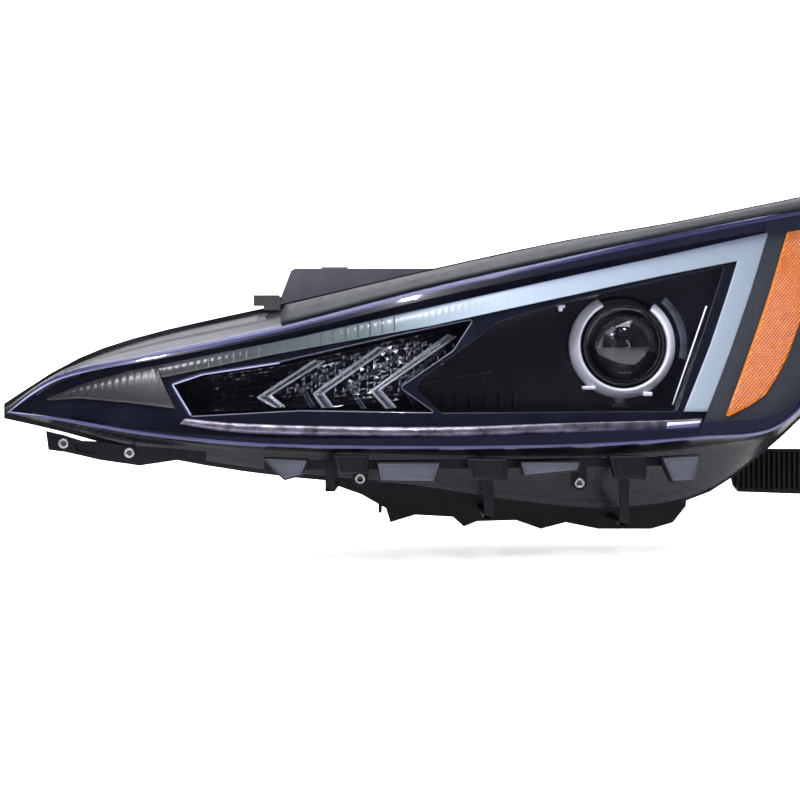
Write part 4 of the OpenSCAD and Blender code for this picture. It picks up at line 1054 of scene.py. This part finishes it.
BLOCKS = [
    (1, [(-112, -46.7), (-74, -48.4), (-79.5, -61.7), (-94.4, -65.8), (-104.4, -55.9)]),
    (0, [(-55, -45.2), (-26, -45.2), (-26, -60.3), (-49, -60.3)]),
    (1, [(-19.7, -50.8), (34.3, -50.8), (28.6, -68.3), (-17.2, -67.5)]),
    (0, [(55, -48.2), (89.5, -49.1), (89.5, -67.6), (60, -66)]),
    (1, [(100, -51.4), (152.6, -51.4), (149.2, -60), (103.5, -64.4)]),
    (0, [(178.7, -47.5), (210.2, -47.5), (211, -68.8), (184, -67)]),
    (1, [(225.8, -49.5), (261.3, -47.3), (254.6, -70.6), (235.8, -71.8)])]
SCREWS = [(-276, 27, -35.4), (-222, 27, -43.2), (-33, 39, -65), (154, 74, -71)]
RAIL_THICK = 3
BLOCK_DEPTH = 16
TAB_R = 7
LEGS = [(-58, -76), (75, -100), (195, -109)]
WEB_Y = 154


def bumper_rail():
    """Rail with stepped blocks; the pale ones have a dished front face."""
    verts, faces, picks = [], [], []

    def solid(rings, pick):
        more_verts, more_faces, more_picks = loft_data(rings, pick=pick)
        k = len(verts)
        verts.extend(more_verts)
        faces.extend(tuple(k + a for a in f) for f in more_faces)
        picks.extend(more_picks[:-1] + [pick(len(rings) - 2, 0)])

    for pale, block in BLOCKS:
        y1 = rail_y(block[0][0]) + RAIL_THICK
        y0 = y1 - BLOCK_DEPTH
        rings = []
        for inset, y in ((0, y1), (0, y0 + 1.4), (0.5, y0 + 0.4), (1.5, y0), (2.6, y0), (3.4, y0 + 0.9)):
            rings.append([(x, y, z) for x, z in rounded(offset(block, -inset), 1.8 - 0.3 * inset, 3)])
        solid(rings, lambda i, j: 1 if pale and i >= 3 else 0)
    n = 40
    rings = []
    for i in range(n + 1):
        x = mix(-112, 262, i / n)
        y = rail_y(x)
        rings.append([(x, y + 0.5, -50), (x, y, -50.5), (x, y, -57.5), (x, y + 0.5, -58),
                      (x, y + RAIL_THICK, -58), (x, y + RAIL_THICK, -50)])
    solid(rings, lambda i, j: 0)
    for x, y, z in SCREWS[2:]:
        loop = [(x + TAB_R * math.cos(a), z + TAB_R * math.sin(a)) for a in
                (math.radians(180 + 15 * k) for k in range(13))]
        loop += [(x + TAB_R, z + 16), (x - TAB_R, z + 16)]
        solid([[(px, yy, pz) for px, pz in loop] for yy in (y + 4.5, y + 0.4, y)], lambda i, j: 0)
    for x, z in LEGS:
        y = rail_y(x)
        for far in ((x + 4, y + RAIL_THICK, -55), (x + 4, WEB_Y - 0.2, z + 3)):
            box_faces((x - 4, y, z), far, verts, faces)
            picks.extend([0] * len(BOX_SIDES))
    return piece("bumper_rail", verts, faces, ["bracket", "pad"], picks, smooth=False,
                 replaces=["bumper_bracket"], slot="bracket_black")


bevel(bumper_rail(), 0.0004)

# radius and depth from the seat, from the shank's end round the head to the drive's floor
SCREW_PROFILE = ((2.2, 10), (2.2, 0.2), (4.4, 0), (4.4, -1.9), (4.1, -2.6), (3.6, -3.0), (3.0, -3.0),
                 (2.7, -2.6), (2.15, -2.5), (1.9, -1.6), (0.3, -1.6))


def bracket_fasteners():
    """Pan-head screws: turned rim, shallow dish and a six-sided drive."""
    verts, faces, picks = [], [], []
    for x, y, z in SCREWS:
        rings = []
        for r, d in SCREW_PROFILE:
            six = 0.12 * r if 1 < r < 2.19 else 0
            ring = []
            for a in (2 * math.pi * q / 36 for q in range(36)):
                reach = r - six * math.cos(6 * a)
                ring.append((x + reach * math.cos(a), y + d, z + reach * math.sin(a)))
            rings.append(ring)
        more_verts, more_faces, more_picks = loft_data(rings, pick=lambda i, j: 1 if i >= 8 else 0)
        k = len(verts)
        verts += more_verts
        faces += [tuple(k + a for a in f) for f in more_faces]
        picks += more_picks[:-1] + [1]
    piece("bracket_fasteners", verts, faces, ["steel", "barrel"], picks, replaces=["bracket_screws"],
          slot="steel")


bracket_fasteners()

# ---- finishes of the pieces that keep their CAD shape ---------------------------------------
FINISH = {
    "housing": "housing", "lens_sealant": "butyl", "hood_clip": "nylon", "drl_circuit_board": "board",
    "lens_holder": "barrel", "shutter_frame": "cast", "shutter_plate": "barrel", "shutter_pin": "steel",
    "shutter_spring": "steel", "solenoid_body": "nylon", "solenoid_plunger": "steel",
    "projector_reflector": "facets", "projector_screws": "steel", "pivot_pins": "steel",
    "projector_frame": "housing", "low_beam_bulb": "bulb", "bulb_holder": "steel", "aim_screw": "steel",
    "aim_nut": "acetal", "rear_cap": "nylon", "rear_cap_seal": "seal", "turn_bulb": "amber_bulb",
    "turn_socket": "grey_nylon", "marker_bulb": "amber_bulb", "marker_socket": "grey_nylon",
    "vent_caps": "nylon",
    "connector_socket": "nylon", "connector_pins": "brass", "inner_bracket": "bracket",
    "fender_bracket": "housing", "cap_ring": "nylon", "aim_bush": "acetal",
    "upper_mount": "mount", "outer_mount": "mount", "fender_mount": "mount", "locating_pin": "mount",
    "upper_carrier": "carrier", "lower_web": "housing", "lamp_seats": "nylon",
}
for node, finish in FINISH.items():
    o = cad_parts[node]
    if not o.material_slots:
        o.data.materials.append(M[finish])
    for s in o.material_slots:
        s.link = "OBJECT"
        s.material = M[finish]

for node in ("inner_bracket", "fender_bracket", "rear_cap", "cap_ring", "connector_socket",
             "turn_socket", "marker_socket", "lamp_seats", "upper_mount", "outer_mount", "fender_mount",
             "vent_caps", "hood_clip", "projector_frame", "shutter_frame", "bulb_holder"):
    bevel(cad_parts[node], 0.0006)


def plain(box):
    return [list(map(float, corner_)) if hasattr(corner_, "__len__") else float(corner_) for corner_ in box]


{"cad": plain(cad_box), "visual": plain(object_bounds())}
